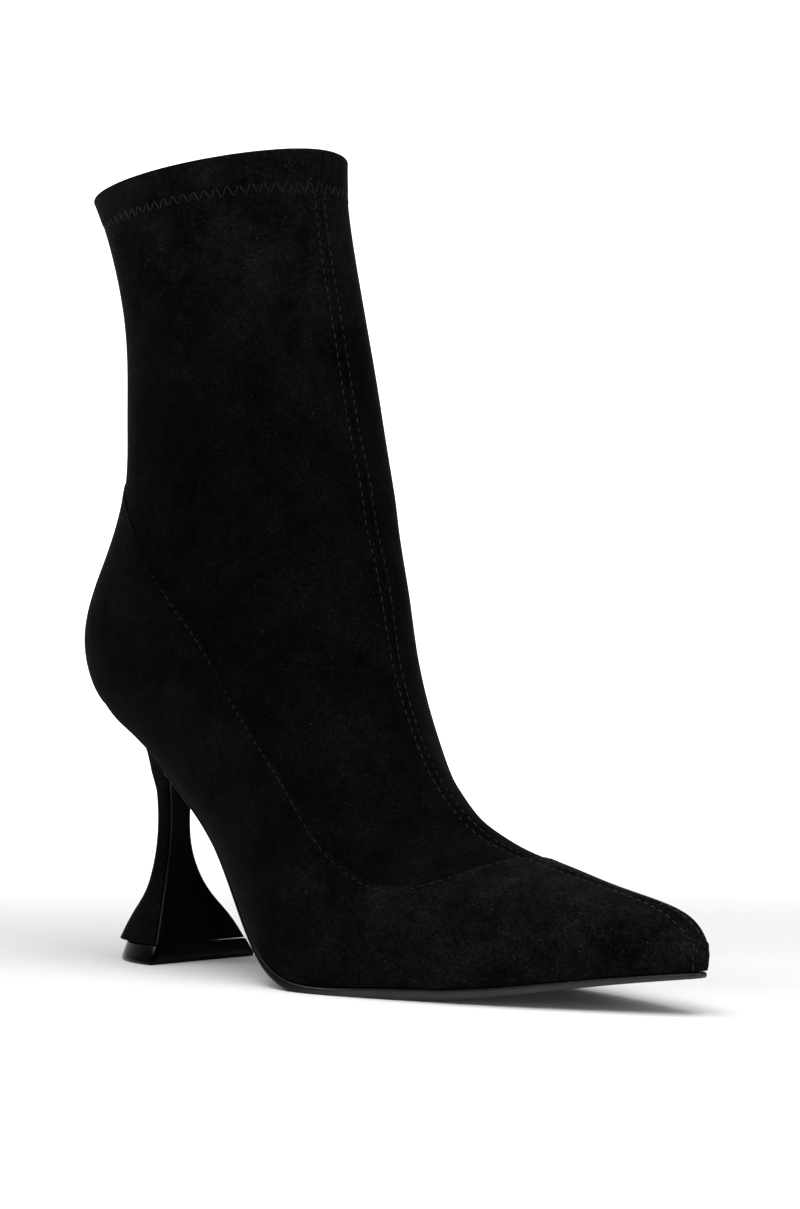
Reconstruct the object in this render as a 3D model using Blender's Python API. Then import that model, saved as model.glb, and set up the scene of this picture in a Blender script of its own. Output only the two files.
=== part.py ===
"""Pull-on ankle boot with a pointed toe and a flared heel, a right shoe.

The toe points along +X, the outer side of the foot faces -Y and the boot stands on Z = 0.
Sections run from the nose of the toe over the instep to the collar. Each one starts on the
front seam, the ridge, and ends on the feather line where the upper meets the sole or, above
the heel seat, on the centre line of the back.
"""
import math

import bmesh
import bpy
import numpy as np

# Driving dimensions of the boot, in metres
LENGTH = 0.2457            # rear of the counter to the tip of the toe
BALL_WIDTH = 0.0700        # across the upper at its widest
INSTEP_RISE = 0.0650       # front seam above the feather line at the waist
HEEL_HEIGHT = 0.0775       # floor to the rear of the heel seat
LEG_HEIGHT = 0.1591        # heel seat to the back of the collar
GAP = 0.0003               # between neighbouring pieces

# Thicknesses, in metres
PANEL_WALL = 0.0024        # lower foot panel with its lining
PANEL_STEP = 0.0007        # how far the panel's lapped edge stands over the sock
HEM_FOLD = 0.0006          # second layer of the sock inside the collar
RIM_WIDTH = 0.0026         # flat rim of the upper that the sole closes
NOSE_WALL = 0.0050         # solid nose of the toe, along the foot
INSOLE_THICKNESS = 0.0020
SOLE_CHAMFER = 0.0005
BREAST_PLATE = 0.0010      # facing on the front of the heel
BREAST_INSET = 0.0006      # facing inside the heel's side edges
TOP_PIECE_HEIGHT = 0.0058
TOP_PIECE_LAND = 0.0012    # upright edge at the foot of the top piece
HEEL_NECK = 0.0520         # floor to the slimmest part of the heel

# Sections of the last, in per cent. x: of LENGTH. level: floor 0, heel seat 100, collar 200.
# rise: of INSTEP_RISE over the base. half, feather, swing: of half BALL_WIDTH.
# front and back: fullness near the ridge and near the base, 1 is an ellipse and less is fuller.
SECTION_COLUMNS = ("base_x", "level", "ridge_x", "rise", "half", "feather", "swing", "front", "back")
SECTIONS = {
    "nose":    (99.6, 15.7, 100.0, 9.8, 0.0, 0.0, 11.4, 1.00, 1.00),
    "tip":     (96.9, 15.0, 97.9, 20.6, 17.7, 16.6, 10.3, 1.00, 1.00),
    "toebox":  (90.6, 12.8, 92.6, 30.9, 36.6, 34.3, 8.6, 0.97, 1.00),
    "vamp":    (81.6, 8.9, 84.2, 41.7, 60.6, 56.0, 5.1, 0.90, 1.00),
    "joint":   (71.4, 5.3, 75.5, 53.5, 84.3, 75.7, 1.7, 0.88, 1.00),
    "ball":    (61.3, 4.0, 67.4, 65.0, 97.1, 91.4, -3.4, 1.00, 1.00),
    "tread":   (51.1, 3.9, 61.2, 85.8, 100.0, 98.0, -9.5, 1.28, 1.00),
    "waist":   (40.9, 17.6, 56.7, 95.4, 97.1, 80.5, -10.0, 1.50, 1.00),
    "shank":   (31.1, 50.0, 53.4, 82.0, 95.7, 65.7, -5.1, 1.48, 1.00),
    "breast":  (22.6, 71.6, 52.1, 76.8, 94.3, 60.0, -2.3, 1.30, 1.00),
    "seat":    (14.9, 87.1, 51.1, 76.2, 94.3, 54.3, 0.0, 1.14, 0.92),
    "rear":    (8.3, 95.8, 50.1, 81.5, 95.0, 40.0, 0.0, 1.04, 0.80),
    "corner":  (4.5, 100.0, 49.3, 86.6, 97.0, 0.0, 0.0, 1.00, 0.62),
    "counter": (0.0, 112.3, 48.5, 71.0, 99.3, 0.0, 0.0, 0.96, 0.75),
    "tendon":  (3.6, 127.3, 47.1, 50.5, 98.8, 0.0, 0.0, 0.94, 1.06),
    "ankle":   (7.9, 141.2, 45.3, 36.7, 98.5, 0.0, 0.0, 0.93, 1.08),
    "leg":     (8.6, 155.6, 43.7, 24.4, 98.0, 0.0, 0.0, 0.94, 1.05),
    "calf":    (8.2, 174.5, 41.3, 15.4, 95.5, 0.0, 0.0, 0.98, 1.00),
    "hem":     (4.4, 191.7, 39.2, 16.2, 94.5, 0.0, 0.0, 1.00, 1.02),
    "collar":  (0.9, 199.7, 39.7, 16.7, 91.0, 0.0, 0.0, 1.00, 1.00),
}

# Lapped edge of the lower panel seen from the side, from the back of the heel to the vamp
# and on past the ridge. x: per cent of LENGTH. level: as in the sections.
PANEL_EDGE_COLUMNS = ("x", "level")
PANEL_EDGE = (
    (6.0, 148.0),
    (12.0, 144.6),
    (18.1, 138.0),
    (24.0, 127.9),
    (32.8, 113.1),
    (41.0, 98.8),
    (47.9, 77.4),
    (54.3, 55.0),
    (60.8, 42.5),
    (65.1, 41.0),
    (69.7, 44.8),
    (72.8, 49.5),
    (80.0, 70.0),
    (100.0, 160.0),
)

# Outsole at the sections it passes, in metres; its tread is cut flat on the floor
OUTSOLE_COLUMNS = ("section", "thickness", "overhang")
OUTSOLE = (
    ("nose", 0.0017, -0.0003),
    ("vamp", 0.0023, 0.0005),
    ("joint", 0.0028, 0.0005),
    ("tread", 0.0031, 0.0005),
    ("waist", 0.0018, 0.0),
    ("shank", 0.0013, -0.0005),
    ("breast", 0.0013, -0.0005),
)

# D-shaped sections of the heel. level: foot 0, neck 1, seat 2. breast_x and depth: per cent of
# LENGTH. half: per cent of half BALL_WIDTH.
HEEL_COLUMNS = ("level", "breast_x", "depth", "half")
HEEL_SECTIONS = (
    (0.00, 16.9, 13.2, 52.0),
    (0.17, 15.7, 10.1, 40.0),
    (0.30, 14.4, 7.1, 29.0),
    (0.44, 13.5, 5.3, 20.3),
    (0.57, 13.1, 4.5, 15.0),
    (0.84, 13.0, 4.1, 11.6),
    (1.00, 13.1, 4.4, 12.8),
    (1.28, 13.7, 5.9, 17.0),
    (1.65, 15.5, 8.6, 27.0),
    (1.88, 17.6, 12.0, 42.0),
    (2.00, 19.1, 14.4, 53.7),
)
TOP_PIECE_FOOT = (17.2, 12.1, 60.6)    # breast_x, depth and half of its lower edge
TOP_PIECE_HEAD = (17.0, 11.6, 52.4)    # and of its upper edge
OUTSOLE_END = 19.4                     # per cent of LENGTH, just ahead of the heel breast
EDGE_TURN = 0.16                       # share of the panel's edge that runs across the vamp

# Steps of the meshes
ARC_STEPS = 48
TOE_COLUMNS = 14           # nose to where the panel's edge turns along the foot
ACROSS_ROWS = 6            # from that turn over the vamp to the ridge
SIDE_COLUMNS = 24          # from the turn along the panel's edge to the back
PANEL_ROWS = 8             # feather line to the panel's edge
SOCK_ROWS = 18             # panel's edge to the hem
HEM_ROWS = 2               # hem to the collar
HEEL_ROWS = 22
HEEL_TURNS = 24            # round the back of a heel section
CLOSING = 1.3              # how much closer together steps lie at the nose, the panel's edge and the back
SHARP_ANGLE = 35.0         # degrees between faces from which an edge is shaded sharp
CURVE_SAMPLES = 600        # along a curve that is read backwards
HALVINGS = 40              # when a crossing is searched
SOLE_START = 0.25          # of the first step behind the nose, where the outsole begins
SOLE_CLEAR = 0.01          # least station between the outsole's last two cuts
INSOLE_START = 2.0         # from the nose, in lengths of the solid nose
INSOLE_LEAST = 2.0         # half width of the foot under which there is no insole, in rims
SEAT_LEVEL = 2.0           # top of the heel in its table
WELD = 1e-6


def natural_spline(knots, values):
    """Smooth curve through the values at the knots, as a function."""
    knots = np.asarray(knots, float)
    values = np.asarray(values, float)
    count = len(knots)
    step = np.diff(knots)
    matrix = np.eye(count)
    right = np.zeros(count)
    for k in range(1, count - 1):
        matrix[k, k - 1:k + 2] = step[k - 1], 2.0 * (step[k - 1] + step[k]), step[k]
        slopes = np.diff(values[k - 1:k + 2]) / step[k - 1:k + 1]
        right[k] = 6.0 * (slopes[1] - slopes[0])
    bend = np.linalg.solve(matrix, right)

    def curve(at):
        k = np.clip(np.searchsorted(knots, at, side="right") - 1, 0, count - 2)
        a = (knots[k + 1] - at) / step[k]
        b = 1.0 - a
        curl = ((a ** 3 - a) * bend[k] + (b ** 3 - b) * bend[k + 1]) * step[k] ** 2 / 6.0
        return a * values[k] + b * values[k + 1] + curl

    return curve


def level_height(level):
    """Height of a level: floor 0, heel seat 100, back of the collar 200."""
    level = np.asarray(level, float) / 100.0
    return HEEL_HEIGHT * np.minimum(level, 1.0) + LEG_HEIGHT * np.maximum(level - 1.0, 0.0)


def read_sections():
    """Stations of the named sections and a curve along the boot for each of their sizes."""
    table = dict(zip(SECTION_COLUMNS, np.array(list(SECTIONS.values())).T))
    sizes = {
        "base_x": table["base_x"] / 100.0 * LENGTH,
        "base_z": level_height(table["level"]),
        "ridge_x": table["ridge_x"] / 100.0 * LENGTH,
        "half_squared": (table["half"] / 200.0 * BALL_WIDTH) ** 2,
        "feather_squared": (table["feather"] / 200.0 * BALL_WIDTH) ** 2,
        "swing": table["swing"] / 200.0 * BALL_WIDTH,
        "front": table["front"],
        "back": table["back"],
    }
    sizes["ridge_z"] = sizes["base_z"] + table["rise"] / 100.0 * INSTEP_RISE
    middle = np.stack([sizes["base_x"] + sizes["ridge_x"], sizes["base_z"] + sizes["ridge_z"]])
    spacing = np.sqrt(np.linalg.norm(np.diff(middle, axis=1), axis=0))
    stations = np.concatenate([[0.0], np.cumsum(spacing)]) / spacing.sum()
    curves = {name: natural_spline(stations, values) for name, values in sizes.items()}
    return dict(zip(SECTIONS, stations)), curves


STATIONS, CURVES = read_sections()


def section_at(station):
    """Sizes of the section at a station from 0, the nose, to 1, the collar."""
    cut = {name: curve(station) for name, curve in CURVES.items()}
    cut["half"] = np.sqrt(np.maximum(cut.pop("half_squared"), 0.0))
    feather = np.sqrt(np.maximum(cut.pop("feather_squared"), 0.0))
    feather = np.where(station >= STATIONS["corner"] - 1e-9, 0.0, feather)
    cut["feather"] = np.minimum(feather, cut["half"])
    ratio = cut["feather"] / np.maximum(cut["half"], 1e-9)
    cut["end"] = np.pi - np.arcsin(np.clip(ratio, 0.0, 1.0))
    return cut


def outline(cut, turn):
    """Share of the way from ridge to base, and width from the middle, at a turn round a section."""
    down = (1.0 - np.cos(turn)) / (1.0 - np.cos(cut["end"]))
    quarter = turn / (np.pi / 2.0)
    front = cut["front"] + (1.0 - cut["front"]) * quarter
    back = 1.0 + (cut["back"] - 1.0) * (quarter - 1.0)
    out = cut["half"] * np.sin(turn).clip(0.0) ** np.where(quarter < 1.0, front, back)
    return down, out


def turn_at(cut, share):
    """Turn at which a share of the section's edge has been passed, from ridge to base."""
    deep = {name: np.asarray(value)[..., None] for name, value in cut.items()}
    turns = deep["end"] * np.linspace(0.0, 1.0, ARC_STEPS)
    down, out = outline(deep, turns)
    chord = np.hypot(deep["ridge_x"] - deep["base_x"], deep["ridge_z"] - deep["base_z"])
    lengths = np.hypot(np.diff(down * chord), np.diff(out))
    passed = np.cumsum(lengths, axis=-1)
    passed = np.concatenate([np.zeros_like(passed[..., :1]), passed], axis=-1) / passed[..., -1:]
    after = np.clip((passed < share[..., None]).sum(axis=-1), 1, ARC_STEPS - 1)[..., None]
    low = np.take_along_axis(passed, after - 1, -1)[..., 0]
    high = np.take_along_axis(passed, after, -1)[..., 0]
    first = np.take_along_axis(turns, after - 1, -1)[..., 0]
    last = np.take_along_axis(turns, after, -1)[..., 0]
    return first + (last - first) * (share - low) / np.maximum(high - low, 1e-12)


def last_point(station, side):
    """Point of the boot's outer form. side: 0 on the ridge, -1 outer and 1 inner end of a section."""
    station, side = np.broadcast_arrays(np.asarray(station, float), np.asarray(side, float))
    cut = section_at(station)
    down, out = outline(cut, turn_at(cut, np.abs(side)))
    x = cut["ridge_x"] + (cut["base_x"] - cut["ridge_x"]) * down
    z = cut["ridge_z"] + (cut["base_z"] - cut["ridge_z"]) * down
    return np.stack([x, cut["swing"] + np.sign(side) * out, z], axis=-1)


def last_normal(station, side):
    """Outward direction of the boot's form, kept in the middle plane on the ridge and the back line."""
    ds, du = 1e-4, 2e-3
    station, side = np.broadcast_arrays(np.asarray(station, float), np.asarray(side, float))
    near = np.clip(np.abs(side), 2 * du, 1.0 - 2 * du)
    s = np.clip(station, 2 * ds, 1.0 - 2 * ds)
    along = last_point(s + ds, near) - last_point(s - ds, near)
    around = last_point(s, near + du) - last_point(s, near - du)
    normal = np.cross(around, along)
    normal[..., 1] = np.abs(normal[..., 1]) * np.sign(side)
    on_back = (np.abs(side) > 0.999) & (station >= STATIONS["corner"] - 1e-9)
    normal[..., 1] = np.where(on_back, 0.0, normal[..., 1])
    normal /= np.linalg.norm(normal, axis=-1, keepdims=True)
    cut = section_at(station)
    middle = np.stack([(cut["ridge_x"] + cut["base_x"]) / 2.0, cut["swing"],
                       (cut["ridge_z"] + cut["base_z"]) / 2.0], axis=-1)
    outward = np.sum(normal * (last_point(station, side) - middle), axis=-1, keepdims=True)
    flip = np.where(outward < 0.0, -1.0, 1.0)
    return normal * np.concatenate([flip, np.ones_like(flip), flip], axis=-1)


def cross(above, low, high):
    """Place between low and high at which a test turns true, by halving."""
    for _ in range(HALVINGS):
        middle = (low + high) / 2.0
        high = np.where(above(middle), middle, high)
        low = np.where(above(middle), low, middle)
    return (low + high) / 2.0


def edge_shares():
    """Shares of the panel's edge from the ridge to the back, even over the vamp, closing at the back."""
    across = np.linspace(0.0, EDGE_TURN, ACROSS_ROWS + 1)
    along = 1.0 - (1.0 - np.linspace(0.0, 1.0, SIDE_COLUMNS + 1)) ** CLOSING
    return np.concatenate([across, EDGE_TURN + (1.0 - EDGE_TURN) * along[1:]])


def panel_edge():
    """Stations and sides of the panel's lapped edge from the ridge to the back."""
    table = dict(zip(PANEL_EDGE_COLUMNS, np.array(PANEL_EDGE).T))
    edge = natural_spline(table["x"] / 100.0 * LENGTH, level_height(table["level"]))

    def over(station, side):
        point = last_point(station, side)
        return point[..., 2] > edge(point[..., 0])

    front = cross(lambda station: over(station, 0.0), 0.0, STATIONS["waist"])
    back = cross(lambda station: over(station, 1.0), STATIONS["corner"], STATIONS["calf"])
    stations = front + (back - front) * np.linspace(0.0, 1.0, CURVE_SAMPLES) ** 2
    sides = cross(lambda side: ~over(stations, side), np.zeros_like(stations), np.ones_like(stations))
    sides[[0, -1]] = 0.0, 1.0
    lengths = np.linalg.norm(np.diff(last_point(stations, sides), axis=0), axis=1)
    passed = np.concatenate([[0.0], np.cumsum(lengths)]) / lengths.sum()
    return np.interp(edge_shares(), passed, stations), np.interp(edge_shares(), passed, sides)


def base_line(station):
    """Centre of the feather surface under the foot, its upward direction and half its width."""
    step = 1e-4
    cut = section_at(station)
    ahead = section_at(np.maximum(station - step, 0.0))
    behind = section_at(station + step)
    run = ahead["base_x"] - behind["base_x"]
    climb = ahead["base_z"] - behind["base_z"]
    up = np.stack([-climb, np.zeros_like(run), run], axis=-1) / np.hypot(run, climb)[..., None]
    centre = np.stack([cut["base_x"], cut["swing"], cut["base_z"]], axis=-1)
    return centre, up, cut["feather"]


def station_of_base(x):
    """Station whose feather line crosses the foot at x, behind the ball."""
    stations = np.linspace(STATIONS["ball"], STATIONS["corner"], CURVE_SAMPLES)
    return np.interp(-x, -section_at(stations)["base_x"], stations)


def nose_station():
    """Station at which the hollow of the toe begins."""
    stations = np.linspace(0.0, STATIONS["toebox"], CURVE_SAMPLES)
    return np.interp(NOSE_WALL, section_at(0.0)["base_x"] - section_at(stations)["base_x"], stations)


def seat_height(x):
    """Height of the feather surface over a point of the heel seat."""
    return section_at(station_of_base(x))["base_z"]


def toe_shares():
    """Shares of the way from the nose to the turn of the panel's edge."""
    return np.linspace(0.0, 1.0, TOE_COLUMNS + 1) ** CLOSING


def foot_stations():
    """Stations of the columns on the feather line, from the nose to the heel corner."""
    turn = panel_edge()[0][ACROSS_ROWS]
    along = (edge_shares()[ACROSS_ROWS:] - EDGE_TURN) / (1.0 - EDGE_TURN)
    return np.concatenate([turn * toe_shares()[:-1], turn + (STATIONS["corner"] - turn) * along])


def vamp_grid():
    """Stations and sides of the top of the toe: columns from nose to panel's edge, rows to the ridge."""
    stations, sides = panel_edge()
    across = slice(ACROSS_ROWS, None, -1)
    grid = toe_shares()[:, None] * stations[None, across]
    return grid, np.broadcast_to(sides[None, across], grid.shape)


def side_grid():
    """Stations and sides of the flank: columns from the nose to the back, rows from the feather line up."""
    bottom = foot_stations()
    edge_stations, edge_sides = panel_edge()
    top = np.concatenate([bottom[:TOE_COLUMNS], edge_stations[ACROSS_ROWS:]])
    top_sides = np.concatenate([np.full(TOE_COLUMNS, edge_sides[ACROSS_ROWS]), edge_sides[ACROSS_ROWS:]])
    climb = np.linspace(0.0, 1.0, PANEL_ROWS + 1)[None, :]
    stations = bottom[:, None] + (top - bottom)[:, None] * climb
    return stations, 1.0 + (top_sides - 1.0)[:, None] * climb


def sock_grid(first, last, rows):
    """Stations and sides of the sock between two heights: 0 on the panel's edge, 1 hem, 2 collar."""
    edge_stations, edge_sides = panel_edge()
    climb = np.linspace(first, last, rows + 1)[None, :]
    up = np.minimum(climb, 1.0) ** CLOSING
    stations = edge_stations[:, None] + (STATIONS["hem"] - edge_stations)[:, None] * up
    stations = stations + (1.0 - STATIONS["hem"]) * np.maximum(climb - 1.0, 0.0)
    return stations, edge_sides[:, None] + (edge_shares() - edge_sides)[:, None] * up


def inset(stations, sides, depth):
    """Points of the wall at a depth under the boot's outer form."""
    return last_point(stations, sides) - depth * last_normal(stations, sides)


def lining(stations, sides):
    """Points of the inner face behind the solid nose of the toe."""
    hollow = stations + nose_station() * np.clip(1.0 - stations / STATIONS["vamp"], 0.0, 1.0) ** 2
    points = inset(hollow, sides, PANEL_WALL)
    points[0, :, 1] = section_at(hollow[0])["swing"]
    return hollow, points


def flank_lining(stations, sides):
    """Points of the inner face of the flank, with its rim laid on the feather surface."""
    hollow, points = lining(stations, sides)
    rim = hollow[:, 0].copy()
    rim[-1] = station_of_base(section_at(rim[-1])["base_x"] + RIM_WIDTH)
    centre, _, feather = base_line(rim)
    inside = np.maximum(feather - RIM_WIDTH, 0.0)
    inside[[0, -1]] = 0.0
    points[:, 0] = centre
    points[:, 0, 1] += np.sign(sides[:, 0]) * inside
    return points


def fill(bm, first, second):
    """Triangles between two rows of vertices of the same length."""
    for j in range(len(first) - 1):
        for corners in ((first[j], first[j + 1], second[j]), (first[j + 1], second[j + 1], second[j])):
            if len(set(corners)) == 3:
                bm.faces.new(corners)


def fill_grid(bm, points):
    """Vertices and faces of a grid of points; the vertices come back as rows along its second way."""
    rows = [[bm.verts.new(point) for point in line] for line in np.swapaxes(points, 0, 1)]
    for first, second in zip(rows, rows[1:]):
        fill(bm, first, second)
    return rows


def add_object(name, bm, material, parent):
    """Close a mesh with its faces outward and place it in the boot."""
    bmesh.ops.recalc_face_normals(bm, faces=bm.faces[:])
    mesh = bpy.data.meshes.new(name)
    bm.to_mesh(mesh)
    bm.free()
    mesh.shade_smooth()
    mesh.set_sharp_from_angle(angle=math.radians(SHARP_ANGLE))
    mesh.materials.append(material)
    piece = bpy.data.objects.new(name, mesh)
    piece.parent = parent
    bpy.context.collection.objects.link(piece)
    return piece


def add_upper(material, parent):
    """One hollow wall, open at the collar and underneath, with the panel's edge a step over the sock."""
    bm = bmesh.new()
    vamp, vamp_sides = vamp_grid()
    flank, flank_sides = side_grid()
    sock, sock_sides = sock_grid(0.0, 1.0, SOCK_ROWS)
    band, band_sides = sock_grid(1.0, 2.0, HEM_ROWS)
    for sign in (-1.0, 1.0):
        outer_vamp = fill_grid(bm, last_point(vamp, sign * vamp_sides))
        outer_flank = fill_grid(bm, last_point(flank, sign * flank_sides))
        outer_sock = fill_grid(bm, inset(sock, sign * sock_sides, PANEL_STEP))
        outer_band = fill_grid(bm, inset(band, sign * band_sides, PANEL_STEP))
        fill_grid(bm, lining(vamp, sign * vamp_sides)[1])
        inner_flank = fill_grid(bm, flank_lining(flank, sign * flank_sides))
        inner_sock = fill_grid(bm, inset(sock, sign * sock_sides, PANEL_WALL))
        inner_band = fill_grid(bm, inset(band, sign * band_sides, PANEL_WALL + HEM_FOLD))
        edge = [row[-1] for row in outer_vamp[::-1]] + outer_flank[-1][TOE_COLUMNS + 1:]
        fill(bm, edge, outer_sock[0])
        fill(bm, inner_sock[-1], inner_band[0])
        fill(bm, outer_band[-1], inner_band[-1])
        fill(bm, outer_flank[0], inner_flank[0])
    bmesh.ops.remove_doubles(bm, verts=bm.verts[:], dist=WELD)
    return add_object("upper", bm, material, parent)


def add_loft(name, rings, material, parent):
    """Solid through rings that mirror from first to last point, closed at both ends by ladders of faces."""
    bm = bmesh.new()
    loops = [[bm.verts.new(point) for point in ring] for ring in rings]
    for first, second in zip(loops, loops[1:]):
        fill(bm, first + first[:1], second + second[:1])
    half = (len(loops[0]) + 1) // 2
    for loop in (loops[0], loops[-1]):
        fill(bm, loop[:half], loop[::-1][:half])
    return add_object(name, bm, material, parent)


def edge_loop(stations, drop, spread):
    """Loop round the feather line from the outer side over the toe to the inner side.

    drop is the depth under the feather surface and spread the distance outside the feather line.
    """
    centre, up, feather = base_line(stations)
    centre = centre - up * np.asarray(drop)[..., None]
    slope = np.gradient(feather, centre[:, 0])
    steep = np.sqrt(1.0 + slope ** 2)
    loop = []
    for sign in (-1.0, 1.0):
        points = centre.copy()
        points[:, 1] += sign * (feather + spread / steep)
        points[:, 0] += -slope * spread / steep
        loop.append(points)
    return np.concatenate([loop[0][::-1], loop[1]])


def add_outsole(material, parent):
    """Thin sole from the toe to the heel breast, flat on the floor under the tread."""
    stations = foot_stations()
    end = station_of_base(OUTSOLE_END / 100.0 * LENGTH)
    passed = stations[(stations > 0.0) & (stations < end - SOLE_CLEAR)]
    stations = np.concatenate([[SOLE_START * passed[0]], passed, [end]])
    names, thicknesses, overhangs = dict(zip(OUTSOLE_COLUMNS, zip(*OUTSOLE))).values()
    at = [STATIONS[name] for name in names]
    thickness = np.interp(stations, at, thicknesses)
    overhang = np.interp(stations, at, overhangs)
    under = GAP + thickness
    levels = (
        (np.full_like(stations, GAP), overhang - SOLE_CHAMFER),
        (np.full_like(stations, GAP + SOLE_CHAMFER), overhang),
        (under - SOLE_CHAMFER, overhang),
        (under, overhang - SOLE_CHAMFER),
    )
    rings = [edge_loop(stations, drop, spread) for drop, spread in levels]
    rings[-1][:, 2] = np.maximum(rings[-1][:, 2], 0.0)
    rings[-2][:, 2] = np.maximum(rings[-2][:, 2], SOLE_CHAMFER)
    return add_loft("outsole", rings, material, parent)


def add_insole(material, parent):
    """Board inside the rim of the upper, on top of the outsole and the heel."""
    stations = foot_stations()
    inside = -(RIM_WIDTH + GAP)
    clear = section_at(stations)["feather"] > INSOLE_LEAST * RIM_WIDTH
    behind_nose = stations > INSOLE_START * nose_station()
    stations = stations[clear & behind_nose & (stations < STATIONS["corner"])]
    drops = (np.zeros_like(stations), np.full_like(stations, -INSOLE_THICKNESS))
    rings = [edge_loop(stations, drop, inside) for drop in drops]
    return add_loft("insole", rings, material, parent)


def heel_sizes(level):
    """Breast x, depth and half width of the heel at a level, in metres."""
    table = dict(zip(HEEL_COLUMNS, np.array(HEEL_SECTIONS).T))
    breast = natural_spline(table["level"], table["breast_x"])(level) / 100.0 * LENGTH
    depth = natural_spline(table["level"], table["depth"])(level) / 100.0 * LENGTH
    half = natural_spline(table["level"], table["half"])(level) / 200.0 * BALL_WIDTH
    return breast, depth, half


def heel_height(level, x_on_seat):
    """Height of a point of the heel: level up to the neck, then spreading to the slope of the seat."""
    foot = TOP_PIECE_HEIGHT + GAP
    straight = foot + (HEEL_NECK - foot) * min(level, 1.0)
    return straight + (seat_height(x_on_seat) - GAP - HEEL_NECK) * max(level - 1.0, 0.0)


def d_ring(breast, depth, half):
    """Half ellipse round the back of a heel section, ending at the corners of its flat breast."""
    turn = np.linspace(-np.pi / 2.0, np.pi / 2.0, HEEL_TURNS + 1)
    return breast - depth * np.cos(turn), half * np.sin(turn)


def add_heel(material, parent):
    """Wrapped block between the seat and the top piece."""
    seat_breast, seat_depth, seat_half = heel_sizes(SEAT_LEVEL)
    seat_x, _ = d_ring(seat_breast, seat_depth, seat_half)
    rings = []
    for level in np.linspace(0.0, SEAT_LEVEL, HEEL_ROWS + 1):
        breast, depth, half = heel_sizes(level)
        x, y = d_ring(breast - BREAST_PLATE - GAP, depth - BREAST_PLATE - GAP, half)
        rings.append(np.stack([x, y, heel_height(level, seat_x)], axis=-1))
    return add_loft("heel", rings, material, parent)


def add_heel_breast(material, parent):
    """Smooth facing on the flat front of the heel."""
    seat_breast = heel_sizes(SEAT_LEVEL)[0]
    rings = []
    for level in np.linspace(0.0, SEAT_LEVEL, HEEL_ROWS + 1):
        breast, _, half = heel_sizes(level)
        side = half - BREAST_INSET
        height = float(heel_height(level, seat_breast))
        rings.append([(breast - BREAST_PLATE, -side, height), (breast, -side, height),
                      (breast, side, height), (breast - BREAST_PLATE, side, height)])
    return add_loft("heel_breast", np.array(rings), material, parent)


def add_top_piece(material, parent):
    """Hard tip that the heel stands on, flared towards the floor."""
    rings = []
    outlines = (
        (0.0, TOP_PIECE_FOOT),
        (TOP_PIECE_LAND, TOP_PIECE_FOOT),
        (TOP_PIECE_HEIGHT, TOP_PIECE_HEAD),
    )
    for height, (breast, depth, half) in outlines:
        x, y = d_ring(breast / 100.0 * LENGTH, depth / 100.0 * LENGTH, half / 200.0 * BALL_WIDTH)
        rings.append(np.stack([x, y, np.full_like(x, height)], axis=-1))
    return add_loft("top_piece", rings, material, parent)


def make_material(name, colour, roughness):
    """Principled material of one piece."""
    material = bpy.data.materials.new(name)
    material.use_nodes = True
    shader = material.node_tree.nodes["Principled BSDF"]
    shader.inputs["Base Color"].default_value = (*colour, 1.0)
    shader.inputs["Roughness"].default_value = roughness
    shader.inputs["Metallic"].default_value = 0.0
    return material


def centre_on_floor(origin, pieces):
    """Move the whole boot so that the middle of its box stands on the origin."""
    points = np.concatenate([[tuple(vertex.co) for vertex in piece.data.vertices] for piece in pieces])
    middle = (points.min(axis=0) + points.max(axis=0)) / 2.0
    origin.location = (-middle[0], -middle[1], 0.0)


def main():
    for old in list(bpy.data.objects):
        bpy.data.objects.remove(old)
    origin = bpy.data.objects.new("boot_origin", None)
    bpy.context.collection.objects.link(origin)
    pieces = [
        add_upper(make_material("black_suede", (0.012, 0.012, 0.012), 0.95), origin),
        add_insole(make_material("black_lining", (0.020, 0.020, 0.021), 0.70), origin),
        add_outsole(make_material("dark_sole", (0.030, 0.030, 0.032), 0.40), origin),
        add_heel(make_material("black_heel_wrap", (0.012, 0.012, 0.012), 0.90), origin),
        add_heel_breast(make_material("black_facing", (0.014, 0.014, 0.015), 0.35), origin),
        add_top_piece(make_material("black_heel_tip", (0.010, 0.010, 0.010), 0.20), origin),
    ]
    centre_on_floor(origin, pieces)
    bpy.context.view_layer.update()


main()
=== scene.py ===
"""Looks of a black pull-on ankle boot with a pointed toe and a flared heel.

The upper's form comes from the same sections as the part, with finer steps, so that seams, laps,
the folded hem and soft creases are real relief. All sizes are in metres.
"""
import math

import bmesh
import bpy
import numpy as np
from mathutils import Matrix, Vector


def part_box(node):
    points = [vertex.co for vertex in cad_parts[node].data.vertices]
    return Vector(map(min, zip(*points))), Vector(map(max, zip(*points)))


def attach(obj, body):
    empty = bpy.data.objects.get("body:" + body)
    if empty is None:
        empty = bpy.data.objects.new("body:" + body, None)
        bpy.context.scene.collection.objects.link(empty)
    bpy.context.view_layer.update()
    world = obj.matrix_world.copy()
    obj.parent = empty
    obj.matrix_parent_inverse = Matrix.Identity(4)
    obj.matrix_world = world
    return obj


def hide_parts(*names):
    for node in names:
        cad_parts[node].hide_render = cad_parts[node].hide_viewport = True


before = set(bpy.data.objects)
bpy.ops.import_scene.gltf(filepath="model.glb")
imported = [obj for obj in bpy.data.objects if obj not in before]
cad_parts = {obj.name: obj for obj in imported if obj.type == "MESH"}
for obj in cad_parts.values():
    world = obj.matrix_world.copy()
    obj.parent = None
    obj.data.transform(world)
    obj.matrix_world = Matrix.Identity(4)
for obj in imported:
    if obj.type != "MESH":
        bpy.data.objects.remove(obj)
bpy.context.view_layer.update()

MM = 0.001
TINY = 1e-9
QUARTER = math.pi / 2.0

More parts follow.
